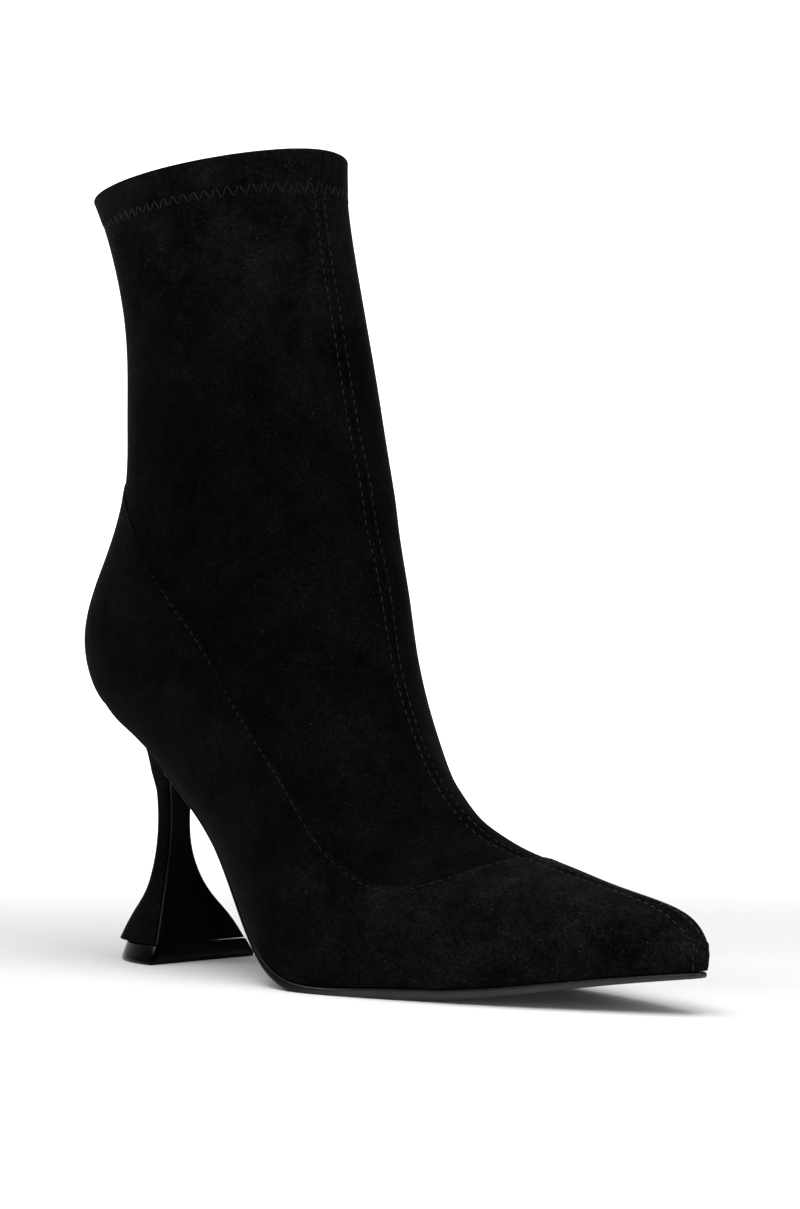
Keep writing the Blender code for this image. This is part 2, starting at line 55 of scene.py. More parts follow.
# Sizes of the boot, the same as the part's
LENGTH = 0.2457
BALL_WIDTH = 0.0700
INSTEP_RISE = 0.0650
HEEL_HEIGHT = 0.0775
LEG_HEIGHT = 0.1591
GAP = 0.0003
PANEL_WALL = 0.0024
HEM_FOLD = 0.0006
RIM_WIDTH = 0.0026
NOSE_WALL = 0.0050
INSOLE_THICKNESS = 0.0020
INSOLE_CROWN = 0.0005
INSOLE_EDGE = 0.0010       # how far its rounded edge falls
INSOLE_START = 0.055       # station
BREAST_PLATE = 0.0010
BREAST_INSET = 0.0006
TOP_PIECE_HEIGHT = 0.0058
TOP_PIECE_LAND = 0.0012
HEEL_NECK = 0.0520

# Sections of the last, in per cent. x: of LENGTH. level: floor 0, heel seat 100, collar 200.
# rise: of INSTEP_RISE over the base. half, feather, swing: of half BALL_WIDTH.
# front and back: fullness near the ridge and near the base, 1 is an ellipse and less is fuller.
SECTION_COLUMNS = ("base_x", "level", "ridge_x", "rise", "half", "feather", "swing", "front", "back")
SECTIONS = {
    "nose": (99.6, 15.7, 100.0, 9.8, 0.0, 0.0, 11.4, 1.00, 1.00),
    "tip": (96.9, 15.0, 97.9, 20.6, 17.7, 16.6, 10.3, 1.00, 1.00),
    "toebox": (90.6, 12.8, 92.6, 30.9, 36.6, 34.3, 8.6, 0.97, 1.00),
    "vamp": (81.6, 8.9, 84.2, 41.7, 60.6, 56.0, 5.1, 0.90, 1.00),
    "joint": (71.4, 5.3, 75.5, 53.5, 84.3, 75.7, 1.7, 0.88, 1.00),
    "ball": (61.3, 4.0, 67.4, 65.0, 97.1, 91.4, -3.4, 1.00, 1.00),
    "tread": (51.1, 3.9, 61.2, 85.8, 100.0, 98.0, -9.5, 1.28, 1.00),
    "waist": (40.9, 17.6, 56.7, 95.4, 97.1, 80.5, -10.0, 1.50, 1.00),
    "shank": (31.1, 50.0, 53.4, 82.0, 95.7, 65.7, -5.1, 1.48, 1.00),
    "breast": (22.6, 71.6, 52.1, 76.8, 94.3, 60.0, -2.3, 1.30, 1.00),
    "seat": (14.9, 87.1, 51.1, 76.2, 94.3, 54.3, 0.0, 1.14, 0.92),
    "rear": (8.3, 95.8, 50.1, 81.5, 95.0, 40.0, 0.0, 1.04, 0.80),
    "corner": (4.5, 100.0, 49.3, 86.6, 97.0, 0.0, 0.0, 1.00, 0.62),
    "counter": (0.0, 112.3, 48.5, 71.0, 99.3, 0.0, 0.0, 0.96, 0.75),
    "tendon": (3.6, 127.3, 47.1, 50.5, 98.8, 0.0, 0.0, 0.94, 1.06),
    "ankle": (7.9, 141.2, 45.3, 36.7, 98.5, 0.0, 0.0, 0.93, 1.08),
    "leg": (8.6, 155.6, 43.7, 24.4, 98.0, 0.0, 0.0, 0.94, 1.05),
    "calf": (8.2, 174.5, 41.3, 15.4, 95.5, 0.0, 0.0, 0.98, 1.00),
    "hem": (4.4, 191.7, 39.2, 16.2, 94.5, 0.0, 0.0, 1.00, 1.02),
    "collar": (0.9, 199.7, 39.7, 16.7, 91.0, 0.0, 0.0, 1.00, 1.00),
}
ARC_STEPS = 64

# Lapped edge of the foot panel seen from the side. x: per cent of LENGTH. level: as in the sections.
PANEL_EDGE_COLUMNS = ("x", "level")
PANEL_EDGE = (
    (6.0, 148.0), (12.0, 144.6), (18.1, 138.0), (24.0, 127.9), (32.8, 113.1), (41.0, 98.8), (47.9, 77.4),
    (54.3, 55.0), (60.8, 42.5), (65.1, 41.0), (69.7, 44.8), (72.8, 49.5), (80.0, 70.0), (100.0, 160.0),
)
EDGE_TURN = 0.16           # share of the panel's edge that runs across the vamp
LAP_STEP = 0.35 * MM       # how far the panel's edge stands over the sock
NOTCH_STEP = 1.30 * MM     # what the step gains at the back, over the counter
NOTCH_REACH = 11.0 * MM

# Outsole at the sections it passes
OUTSOLE_COLUMNS = ("section", "thickness", "overhang")
OUTSOLE = (
    ("nose", 0.0017, -0.0003),
    ("vamp", 0.0023, 0.0005),
    ("joint", 0.0028, 0.0005),
    ("tread", 0.0031, 0.0005),
    ("waist", 0.0018, 0.0),
    ("shank", 0.0013, -0.0005),
    ("breast", 0.0013, -0.0005),
)
OUTSOLE_START = 0.0015         # station
OUTSOLE_END = 19.4             # per cent of LENGTH
SOLE_ROUND = 1.0 * MM          # radius of its edges
SOLE_ROUND_SHARE = 0.42        # of its thickness, where it is thin

# D-shaped sections of the heel. level: foot 0, neck 1, seat 2. breast_x, depth: per cent of LENGTH.
# half: per cent of half BALL_WIDTH.
HEEL_COLUMNS = ("level", "breast_x", "depth", "half")
HEEL_SECTIONS = (
    (0.00, 16.9, 13.2, 52.0),
    (0.17, 15.7, 10.1, 40.0),
    (0.30, 14.4, 7.1, 29.0),
    (0.44, 13.5, 5.3, 20.3),
    (0.57, 13.1, 4.5, 15.0),
    (0.84, 13.0, 4.1, 11.6),
    (1.00, 13.1, 4.4, 12.8),
    (1.28, 13.7, 5.9, 17.0),
    (1.65, 15.5, 8.6, 27.0),
    (1.88, 17.6, 12.0, 42.0),
    (2.00, 19.1, 14.4, 53.7),
)
HEEL_SEAT = 2.0                # level
HEEL_RINGS = 81
HEEL_CORNER = 0.7 * MM
FACING_ROUND = 0.45 * MM
FACING_HOLLOW = 0.25 * MM
BEAD_RADIUS = 0.28 * MM
BEAD_SINK = 0.35 * MM          # behind the facing's front
BEAD_OUT = 0.12 * MM           # beyond the facing's side
BEAD_END = 1.96                # level
TOP_PIECE_FOOT = (17.2, 12.1, 60.6)
TOP_PIECE_HEAD = (17.0, 11.6, 52.4)
TIP_ROUND = 0.35 * MM
TIP_CORNER = 0.4 * MM

# Front seam: station, and how far it lies there from the ridge, in mm, towards the inner side
SEAM_PLACE = (
    (0.00, -1.0), (0.02, -2.2), (0.05, -2.3), (0.09, -1.0), (0.15, 0.1), (0.27, 0.8), (0.37, 1.6),
    (0.44, 0.9), (0.50, -0.4), (0.56, -1.5), (0.70, -1.7), (0.80, -0.5), (0.90, 0.0), (1.00, 0.2),
)
SEAM_STRIP = 7.0 * MM      # half width of the finely divided strip along the seam
SEAM_ROW = 1.9 * MM        # from the seam to the stitches beside it
SEAM_SINK = 0.50           # mm, the seam itself
SEAM_ROLL = 0.20           # mm, the allowance beside it
SEAM_DENT = 0.16           # mm, the stitches' row
NOSE_TURN = 0.014          # station at which the stitches turn down the nose
NOSE_FADE = 0.02           # station up to which the relief fades in
SEAM_SHARES = np.array(
    (0.0, 0.03, 0.06, 0.09, 0.13, 0.17, 0.21, 0.25, 0.28, 0.32, 0.37, 0.45, 0.56, 0.7, 0.84, 1.0))
STRIP_LANES = np.concatenate([-SEAM_SHARES[:0:-1], SEAM_SHARES])

# Stitches
STITCH = 2.1 * MM
STITCH_PITCH = 2.9 * MM
THREAD = 0.40 * MM
ZIGZAG_THREAD = 0.30 * MM
STITCH_LEAN = 0.05         # how much one stitch leans from the next
STITCH_SPREAD = 0.06       # and differs in length
STITCH_SINK = 0.10 * MM    # deepest that one sinks in
PANEL_ROW = 1.3 * MM       # from the panel's edge to its stitches
ROW_DENT = 0.12 * MM       # what those sink in
ROW_SWELL = 0.08 * MM      # and the cloth rises beside them
HEM_DEPTH = 10.6 * MM      # from the collar to the middle of the zigzag
HEM_SWELL = 0.28           # mm, the second layer behind the hem
HEM_END = (9.0 * MM, 12.5 * MM)    # from the collar, where that layer thins out
HEM_PULL = 0.24            # mm, pulled in along the zigzag
HEM_PUCKER = 0.10          # mm, more or less at each turn of it
ZIGZAG_HALF = 1.6 * MM
ZIGZAG_PITCH = 3.7 * MM

# Soft creases: station; side, -1 outer and 1 inner; reach, how far it runs, in sides; tilt, stations
# per side; width and depth in mm
CREASES = (
    (0.318, -0.14, 0.30, 0.10, 6.0, 0.26),
    (0.362, 0.14, 0.30, -0.08, 7.0, 0.24),
    (0.410, -0.22, 0.26, 0.12, 9.0, 0.24),
    (0.292, 0.20, 0.26, -0.10, 5.0, 0.20),
    (0.600, -0.55, 0.20, 0.05, 13.0, 0.30),
    (0.690, 0.60, 0.20, 0.10, 13.0, 0.30),
    (0.765, -0.60, 0.20, -0.12, 12.0, 0.32),
    (0.800, 0.66, 0.20, 0.10, 12.0, 0.32),
    (0.860, -0.72, 0.22, 0.10, 12.0, 0.28),
    (0.905, 0.78, 0.20, -0.06, 12.0, 0.25),
    (0.245, -0.45, 0.22, 0.16, 6.0, 0.20),
    (0.240, 0.45, 0.22, -0.16, 6.0, 0.20),
)
CREASE_SPAN = 300.0        # mm of the boot's length to one station
CREASE_LIP = 0.40          # height of the ridges beside a crease, as a share of its depth

# Grid lines of the upper
FLANK_LINES, FLANK_ROWS = 131, 61
VAMP_ROWS, VAMP_LANES = 91, 34
SOCK_LANES, SOCK_ROWS, HEM_ROWS = 121, 150, 15
TUCK_ROWS = (-0.012, -0.004)    # of the sock, under the panel
TUCK_DEPTH = 0.5 * MM
LINING_LINES, LINING_ROWS = 150, 161

# Cloths: patch scale, dark, light, lint, sheen
CLOTHS = {
    "sock_nap": (46.0, 0.0006, 0.0038, 0.022, 0.026),
    "panel_nap": (52.0, 0.0008, 0.0048, 0.016, 0.030),
    "heel_nap": (70.0, 0.0008, 0.0044, 0.006, 0.026),
}
NAP_RELIEF = (0.55, 0.35 * MM)
NAP_LOOKS = {"Specular IOR Level": 0.02, "Sheen Roughness": 0.22, "Sheen Tint": (1.0, 1.0, 1.0, 1.0)}
JERSEY_LOOKS = {"Roughness": 0.85, "Sheen Weight": 0.05}
# Threads: dark, light, share that shows where it is buried in the nap, shine
THREADS = {
    "seam_thread": (0.003, 0.024, 0.22, 0.14),
    "hem_thread": (0.004, 0.034, 0.30, 0.16),
    "panel_thread": (0.002, 0.013, 0.30, 0.08),
}
THREAD_RELIEF = (0.5, 0.1 * MM)
# Coats: dark, light, roughness from and to, strength of the relief, shine
COATS = {
    "insole_cover": (0.010, 0.016, 0.50, 0.65, 0.35, 0.30),
    "sole_rubber": (0.012, 0.024, 0.34, 0.50, 0.25, 0.05),
    "facing_coat": (0.0016, 0.0034, 0.38, 0.50, 0.10, 0.02),
    "facing_bead": (0.004, 0.010, 0.30, 0.42, 0.05, 0.14),
    "tip_gloss": (0.0004, 0.0010, 0.10, 0.16, 0.03, 0.10),
}
COAT_RELIEF = 0.08 * MM
# Painted light and shade over a piece: direction, first and last place, first and last tone
PAINTED_LIGHT = {
    # painted light: the sock lighter towards the collar, as if lit from above
    "sock_nap": ("Up", 0.165, 0.235, 0.78, 1.80),
    # painted light: the panel lighter towards the toe, darker towards the heel
    "panel_nap": ("Along", -0.03, 0.11, 0.75, 1.70),
    "hem_thread": ("Along", -0.085, -0.035, 1.0, 0.45),
    # painted shade: the sole nearly black towards the waist, where it turns up out of the light; its coat
    # fades with it
    "sole_rubber": ("Along", -0.004, 0.024, 0.05, 1.0),
}
POLISH = {"sole_rubber": {"Coat Roughness": 0.22, "Coat IOR": 1.32}}

# Stage
VIEW_TURN = math.radians(44.0)
VIEW = (-math.cos(VIEW_TURN), math.sin(VIEW_TURN))
TARGET = (0.1265, 0.0039, 0.1108)
CAMERA_DISTANCE = 1.0
SENSOR = 36.0
CAMERA_LENS = SENSOR * 3400.0 / 1209.0
FLOOR_HALF = 4.0
FLOOR_FRONT = -3.0         # along the view
FLOOR_SWEEP = 1.6          # where it starts to rise
SWEEP_RADIUS = 0.8
WALL_HEIGHT = 3.0
POOL_AWAY = 0.14           # middle of the painted shade on the floor, behind the boot
POOL_PLACE = (0.0038 + POOL_AWAY * VIEW[0], 0.0059 + POOL_AWAY * VIEW[1], 0.0)
POOL_SIZE = (0.22, 0.55, 1.0)
# Glow of the floor by its distance from the boot, and of the surroundings on the boot and to the camera
FLOOR_GLOW = {"From Min": 0.30, "From Max": 0.80, "To Min": 0.02, "To Max": 1.0}
WORLD_GLOW = {"To Min": 0.14, "To Max": 1.0}
# Lights: place, aim, size, power
LIGHTS = {
    "top": ((0.38, -0.38, 1.85), (0.0, 0.0, 0.0), (2.0, 2.0), 42.0),
    "left": ((-1.05, -0.45, 1.6), (0.0, 0.0, 0.12), (0.4, 1.4), 11.0),
    "front": ((0.0, -1.6, 0.35), (0.0, 0.0, 0.05), (1.2, 0.3), 2.0),
    "right": ((1.5, -0.1, 0.8), (0.0, 0.0, 0.10), (0.7, 1.3), 8.0),
}


# Form of the boot


def natural_spline(knots, values):
    """Smooth curve through the values at the knots, as a function."""
    knots = np.asarray(knots, float)
    values = np.asarray(values, float)
    count = len(knots)
    step = np.diff(knots)
    matrix = np.eye(count)
    right = np.zeros(count)
    for k in range(1, count - 1):
        matrix[k, k - 1:k + 2] = step[k - 1], 2.0 * (step[k - 1] + step[k]), step[k]
        slopes = np.diff(values[k - 1:k + 2]) / step[k - 1:k + 1]
        right[k] = 6.0 * (slopes[1] - slopes[0])
    bend = np.linalg.solve(matrix, right)

    def curve(at):
        k = np.clip(np.searchsorted(knots, at, side="right") - 1, 0, count - 2)
        a = (knots[k + 1] - at) / step[k]
        b = 1.0 - a
        curl = ((a ** 3 - a) * bend[k] + (b ** 3 - b) * bend[k + 1]) * step[k] ** 2 / 6.0
        return a * values[k] + b * values[k + 1] + curl

    return curve


def columns_of(names, rows):
    """Named columns of a table."""
    return dict(zip(names, (np.array(column) for column in zip(*rows))))


def unit(vectors):
    """Vectors of length 1."""
    return vectors / np.linalg.norm(vectors, axis=-1, keepdims=True)


def passed_along(points):
    """Length of a line of points up to each of them."""
    return np.concatenate([[0.0], np.cumsum(np.linalg.norm(np.diff(points, axis=0), axis=1))])


def smooth(low, high, value):
    """Soft step from 0 at low to 1 at high."""
    t = np.clip((value - low) / (high - low), 0.0, 1.0)
    return t * t * (3.0 - 2.0 * t)


def hump(value, middle, width):
    """Soft bell of height 1."""
    return np.exp(-((value - middle) / width) ** 2)


def level_height(level):
    """Height of a level: floor 0, heel seat 100, back of the collar 200."""
    level = np.asarray(level, float) / 100.0
    return HEEL_HEIGHT * np.minimum(level, 1.0) + LEG_HEIGHT * np.maximum(level - 1.0, 0.0)


def read_sections():
    """Stations of the named sections and a curve along the boot for each of their sizes."""
    table = columns_of(SECTION_COLUMNS, SECTIONS.values())
    half_ball = BALL_WIDTH / 200.0
    sizes = {
        "base_x": table["base_x"] / 100.0 * LENGTH,
        "base_z": level_height(table["level"]),
        "ridge_x": table["ridge_x"] / 100.0 * LENGTH,
        "half_squared": (table["half"] * half_ball) ** 2,
        "feather_squared": (table["feather"] * half_ball) ** 2,
        "swing": table["swing"] * half_ball,
        "front": table["front"],
        "back": table["back"],
    }
    sizes["ridge_z"] = sizes["base_z"] + table["rise"] / 100.0 * INSTEP_RISE
    middle = np.stack([sizes["base_x"] + sizes["ridge_x"], sizes["base_z"] + sizes["ridge_z"]])
    spacing = np.sqrt(np.linalg.norm(np.diff(middle, axis=1), axis=0))
    stations = np.concatenate([[0.0], np.cumsum(spacing)]) / spacing.sum()
    curves = {name: natural_spline(stations, values) for name, values in sizes.items()}
    return dict(zip(SECTIONS, stations)), curves


STATIONS, CURVES = read_sections()


def section_at(station):
    """Sizes of the section at a station from 0, the nose, to 1, the collar."""
    cut = {name: curve(station) for name, curve in CURVES.items()}
    cut["half"] = np.sqrt(np.maximum(cut.pop("half_squared"), 0.0))
    feather = np.sqrt(np.maximum(cut.pop("feather_squared"), 0.0))
    feather = np.where(station >= STATIONS["corner"] - TINY, 0.0, feather)
    cut["feather"] = np.minimum(feather, cut["half"])
    ratio = cut["feather"] / np.maximum(cut["half"], TINY)
    cut["end"] = np.pi - np.arcsin(np.clip(ratio, 0.0, 1.0))
    return cut


def outline(cut, turn):
    """Share of the way from ridge to base, and width from the middle, at a turn round a section."""
    down = (1.0 - np.cos(turn)) / (1.0 - np.cos(cut["end"]))
    quarter = turn / QUARTER
    front = cut["front"] + (1.0 - cut["front"]) * quarter
    back = 1.0 + (cut["back"] - 1.0) * (quarter - 1.0)
    out = cut["half"] * np.sin(turn).clip(0.0) ** np.where(quarter < 1.0, front, back)
    return down, out


def edge_passed(cut):
    """Turns round a section from ridge to base, and the length of its edge up to each."""
    deep = {name: np.asarray(value)[..., None] for name, value in cut.items()}
    turns = deep["end"] * np.linspace(0.0, 1.0, ARC_STEPS)
    down, out = outline(deep, turns)
    chord = np.hypot(deep["ridge_x"] - deep["base_x"], deep["ridge_z"] - deep["base_z"])
    passed = np.cumsum(np.hypot(np.diff(down * chord), np.diff(out)), axis=-1)
    return turns, np.concatenate([np.zeros_like(passed[..., :1]), passed], axis=-1)


def turn_at(cut, share):
    """Turn at which a share of the section's edge has been passed, from ridge to base."""
    turns, passed = edge_passed(cut)
    passed = passed / passed[..., -1:]
    after = np.clip((passed < share[..., None]).sum(axis=-1), 1, ARC_STEPS - 1)[..., None]
    low, high, first, last = (np.take_along_axis(values, at, -1)[..., 0]
                              for values in (passed, turns) for at in (after - 1, after))
    return first + (last - first) * (share - low) / np.maximum(high - low, 1e-12)


def wrap_share(station):
    """Share of a section's edge and flat base together that its edge takes up."""
    cut = section_at(station)
    length = edge_passed(cut)[1][..., -1]
    return length / (length + cut["feather"])


def last_point(station, side):
    """Point of the boot's outer form. side: 0 on the ridge, -1 outer and 1 inner end of a section."""
    station, side = np.broadcast_arrays(np.asarray(station, float), np.asarray(side, float))
    cut = section_at(station)
    down, out = outline(cut, turn_at(cut, np.abs(side)))
    x = cut["ridge_x"] + (cut["base_x"] - cut["ridge_x"]) * down
    z = cut["ridge_z"] + (cut["base_z"] - cut["ridge_z"]) * down
    return np.stack([x, cut["swing"] + np.sign(side) * out, z], axis=-1)


def last_normal(station, side):
    """Outward direction of the boot's form."""
    ds, du = 1e-4, 2e-3
    station, side = np.broadcast_arrays(np.asarray(station, float), np.asarray(side, float))
    near = np.clip(np.abs(side), 2 * du, 1.0 - 2 * du)
    s = np.clip(station, 2 * ds, 1.0 - 2 * ds)
    along = last_point(s + ds, near) - last_point(s - ds, near)
    around = last_point(s, near + du) - last_point(s, near - du)
    normal = np.cross(around, along)
    ease = np.clip(np.abs(side) / (2 * du), 0.0, 1.0)
    normal[..., 1] = np.abs(normal[..., 1]) * np.sign(side) * ease
    on_back = (np.abs(side) > 0.999) & (station >= STATIONS["corner"] - TINY)
    normal[..., 1] = np.where(on_back, 0.0, normal[..., 1])
    normal = unit(normal)
    cut = section_at(station)
    middle = np.stack([(cut["ridge_x"] + cut["base_x"]) / 2.0, cut["swing"],
                       (cut["ridge_z"] + cut["base_z"]) / 2.0], axis=-1)
    outward = np.sum(normal * (last_point(station, side) - middle), axis=-1, keepdims=True)
    flip = np.where(outward < 0.0, -1.0, 1.0)
    return normal * np.concatenate([flip, np.ones_like(flip), flip], axis=-1)


def inset(stations, sides, depth):
    """Points at a depth under the boot's outer form."""
    return last_point(stations, sides) - depth * last_normal(stations, sides)


def half_girths():
    """Length of a section from the ridge to its end, as a function of the station."""
    stations = np.linspace(0.0, 1.0, 300)
    points = last_point(stations[:, None], np.linspace(0.0, 1.0, 90)[None, :])
    lengths = np.linalg.norm(np.diff(points, axis=1), axis=-1).sum(axis=1)
    return lambda station: np.interp(station, stations, lengths)


girth = half_girths()


def cross(above, low, high):
    """Place between low and high at which a test turns true, by halving."""
    for _ in range(40):
        middle = (low + high) / 2.0
        past = above(middle)
        low, high = np.where(past, low, middle), np.where(past, middle, high)
    return (low + high) / 2.0


def trace_panel_edge():
    """Shares, stations and sides of the panel's lapped edge from the ridge to the back."""
    table = columns_of(PANEL_EDGE_COLUMNS, PANEL_EDGE)
    edge = natural_spline(table["x"] / 100.0 * LENGTH, level_height(table["level"]))

    def over(station, side):
        point = last_point(station, side)
        return point[..., 2] > edge(point[..., 0])

    front = cross(lambda station: over(station, 0.0), 0.0, STATIONS["waist"])
    back = cross(lambda station: over(station, 1.0), STATIONS["corner"], STATIONS["calf"])
    stations = front + (back - front) * np.linspace(0.0, 1.0, 900) ** 2
    sides = cross(lambda side: ~over(stations, side), np.zeros_like(stations), np.ones_like(stations))
    sides[[0, -1]] = 0.0, 1.0
    passed = passed_along(last_point(stations, sides))
    return passed / passed[-1], stations, sides


EDGE_SHARES, EDGE_STATIONS, EDGE_SIDES = trace_panel_edge()


def edge_at(share):
    """Station and side of the panel's edge at a share of its length."""
    return np.interp(share, EDGE_SHARES, EDGE_STATIONS), np.interp(share, EDGE_SHARES, EDGE_SIDES)


seam_curve = natural_spline(*zip(*SEAM_PLACE))


def seam_place(station):
    """Where the front seam lies, as a distance from the ridge."""
    return seam_curve(np.clip(station, 0.0, 1.0)) * MM


def seam_strip(station):
    """Half width of the strip along the front seam, narrowing at the nose."""
    return np.minimum(SEAM_STRIP, 0.25 * girth(station))


def seam_row(station):
    """Distance of the stitches from the front seam, less towards the nose."""
    return np.minimum(SEAM_ROW, 0.16 * girth(station))


def strip_ends(station):
    """Sides at which the strip along the front seam begins and ends."""
    place, half = seam_place(station), seam_strip(station)
    return (place - half) / girth(station), (place + half) / girth(station)


def lane_side(station, lane, limit):
    """Side of a lane: from -1 to 1 across the seam's strip, to -2 and 2 at the outer and inner limit."""
    left, right = strip_ends(station)
    middle = (left + right) / 2.0 + (right - left) / 2.0 * np.clip(lane, -1.0, 1.0)
    outer = (-limit - left) * np.clip(-1.0 - lane, 0.0, None)
    inner = (limit - right) * np.clip(lane - 1.0, 0.0, None)
    return middle + outer + inner


def lane_of(station, side, limit):
    """Lane of a side, the other way round."""
    left, right = strip_ends(station)
    middle = np.clip((side - (left + right) / 2.0) / ((right - left) / 2.0), -1.0, 1.0)
    outer = np.clip((left - side) / (limit + left), 0.0, None)
    inner = np.clip((side - right) / (limit - right), 0.0, None)
    return middle - outer + inner


def edge_lanes(stations, sides, limit):
    """Lanes of the outer and inner half of an edge, and lanes and stations of both in one line."""
    outer, inner = lane_of(stations, -sides, limit), lane_of(stations, sides, limit)
    line = np.concatenate([outer[::-1], inner[1:]]), np.concatenate([stations[::-1], stations[1:]])
    return outer, inner, line


def cloth_relief(station, side):
    """Sunk seam with rounded allowances and the dents of its stitches, and the soft creases."""
    strip = seam_strip(station) / SEAM_STRIP
    off = np.abs(side * girth(station) - seam_place(station)) / MM
    row = seam_row(station) / MM
    roll = -SEAM_SINK * hump(off, 0.0, 0.30) + SEAM_ROLL * hump(off, 0.5 * row, 0.28 * row)
    roll -= SEAM_DENT * hump(off, row, 0.20 * row)
    crease = np.zeros(np.broadcast_shapes(np.shape(station), np.shape(side)))
    for at, middle, reach, tilt, width, depth in CREASES:
        across = (station - at - tilt * (side - middle)) * CREASE_SPAN / width
        trough = hump(across, 0.0, 1.0) - CREASE_LIP * hump(np.abs(across), 1.9, 1.0)
        crease -= depth * hump(side, middle, reach) * trough
    return MM * np.minimum(1.0, 1.6 * strip) * roll + MM * crease


def lap_step(points):
    """Height of the panel's edge over the sock, more where it ends in a notch at the back."""
    notch = last_point(EDGE_STATIONS[-1], EDGE_SIDES[-1])
    return LAP_STEP + NOTCH_STEP * hump(np.linalg.norm(points - notch, axis=-1), 0.0, NOTCH_REACH)


def lap_relief(points, distance):
    """Rounded edge of the foot panel, with the dent of its stitches; distance from the edge."""
    step = lap_step(points)
    off = np.minimum(distance, step)
    edge = np.sqrt(np.maximum(step ** 2 - (step - off) ** 2, 0.0)) - step
    dent = ROW_DENT * hump(distance, PANEL_ROW, 0.45 * MM)
    return edge - dent + ROW_SWELL * hump(distance, 2.6 * MM, 0.8 * MM)


def nearest(points, line):
    """Distance from each point to a close line of points."""
    flat = points.reshape(-1, 3)
    far = np.concatenate([np.sqrt(((part[:, None] - line[None]) ** 2).sum(-1)).min(1)
                          for part in np.array_split(flat, max(1, len(flat) // 4000))])
    return far.reshape(points.shape[:-1])


def base_line(station):
    """Centre of the feather surface under the foot, its upward direction and half its width."""
    step = 1e-4
    cut = section_at(station)
    ahead = section_at(np.maximum(station - step, 0.0))
    behind = section_at(station + step)
    run = ahead["base_x"] - behind["base_x"]
    climb = ahead["base_z"] - behind["base_z"]
    up = unit(np.stack([-climb, np.zeros_like(run), run], axis=-1))
    centre = np.stack([cut["base_x"], cut["swing"], cut["base_z"]], axis=-1)
    return centre, up, cut["feather"]


def station_of_base(x):
    """Station whose feather line crosses the foot at x, behind the ball."""
    stations = np.linspace(STATIONS["ball"], STATIONS["corner"], 400)
    return np.interp(-x, -section_at(stations)["base_x"], stations)


def nose_station():
    """Station at which the hollow of the toe begins."""
    stations = np.linspace(0.0, STATIONS["toebox"], 200)
    return np.interp(NOSE_WALL, section_at(0.0)["base_x"] - section_at(stations)["base_x"], stations)


def boot_shift():
    """From the sections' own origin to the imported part's."""
    low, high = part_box("top_piece")
    return np.array([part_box("upper")[1].x - LENGTH, (low.y + high.y) / 2.0, 0.0])


SHIFT = boot_shift()

RIM_RADIUS = (PANEL_WALL + HEM_FOLD - LAP_STEP) / 2.0
RIM_HEIGHT = 0.8 * MM
HEM_STATIONS = (1.0 - STATIONS["hem"]) / (LEG_HEIGHT * 0.076)    # stations to a metre near the collar
COLLAR_END = 1.0 - RIM_HEIGHT * HEM_STATIONS


def add_object(name, data):
    """Object in the scene."""
    thing = bpy.data.objects.new(name, data)
    bpy.context.scene.collection.objects.link(thing)
    return thing


class Skin:
    """Patches of one piece, gathered and then welded into one mesh."""

    def __init__(self):
        self.points = []
        self.faces = []
        self.total = 0

    def patch(self, points, outward, closed=False):
        """Add a grid of points. outward: away from the piece. closed: the last line joins the first."""
        lines, places = points.shape[:2]
        outward = np.broadcast_to(outward, points.shape).reshape(-1, 3)
        flat = points.reshape(-1, 3)
        index = np.arange(lines * places).reshape(lines, places)
        if closed:
            index = np.concatenate([index, index[:1]])
        corners = index[:-1, :-1], index[1:, :-1], index[1:, 1:], index[:-1, 1:]
        faces = np.stack(corners, axis=-1).reshape(-1, 4)
        a, b, c, d = (flat[faces[:, k]] for k in range(4))
        if np.sum(np.cross(c - a, d - b) * outward[faces[:, 0]]) < 0.0:
            faces = faces[:, ::-1]
        self.points.append(flat)
        self.faces.append(faces + self.total)
        self.total += len(flat)

    def tube(self, rings):
        """Add rings one after another, each closed in itself."""
        rings = np.asarray(rings)
        lines = np.swapaxes(rings, 0, 1)
        self.patch(lines, lines - lines.mean(axis=0), closed=True)

    def loft(self, rings):
        """Add rings that mirror from first to last point, with both ends closed."""
        rings = np.asarray(rings)
        self.tube(rings)
        half = rings.shape[1] // 2
        inside = rings.mean(axis=(0, 1))
        for ring in (rings[0], rings[-1]):
            ladder = np.stack([ring[:half], ring[::-1][:half]], axis=1)
            self.patch(ladder, ring.mean(axis=0) - inside)

    def piece(self, name, material, slot, *nodes, sharp=60.0):
        """Make the mesh, weld its patches and fit it to the boot."""
        mesh = bpy.data.meshes.new(name)
        points = np.concatenate(self.points) + SHIFT
        mesh.from_pydata(points.tolist(), [], np.concatenate(self.faces).tolist())
        bm = bmesh.new()
        bm.from_mesh(mesh)
        bmesh.ops.remove_doubles(bm, verts=bm.verts[:], dist=2e-6)
        bmesh.ops.dissolve_degenerate(bm, edges=bm.edges[:], dist=1e-7)
        bm.to_mesh(mesh)
        bm.free()
        mesh.shade_smooth()
        mesh.set_sharp_from_angle(angle=math.radians(sharp))
        mesh.materials.append(material)
        thing = add_object(name, mesh)
        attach(thing, "root")
        if nodes:
            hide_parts(*nodes)


def loft_piece(name, rings, material, slot, node, sharp=50.0):
    """Piece made of one loft."""
    skin = Skin()
    skin.loft(rings)
    skin.piece(name, material, slot, node, sharp=sharp)


# Node work shared by the materials


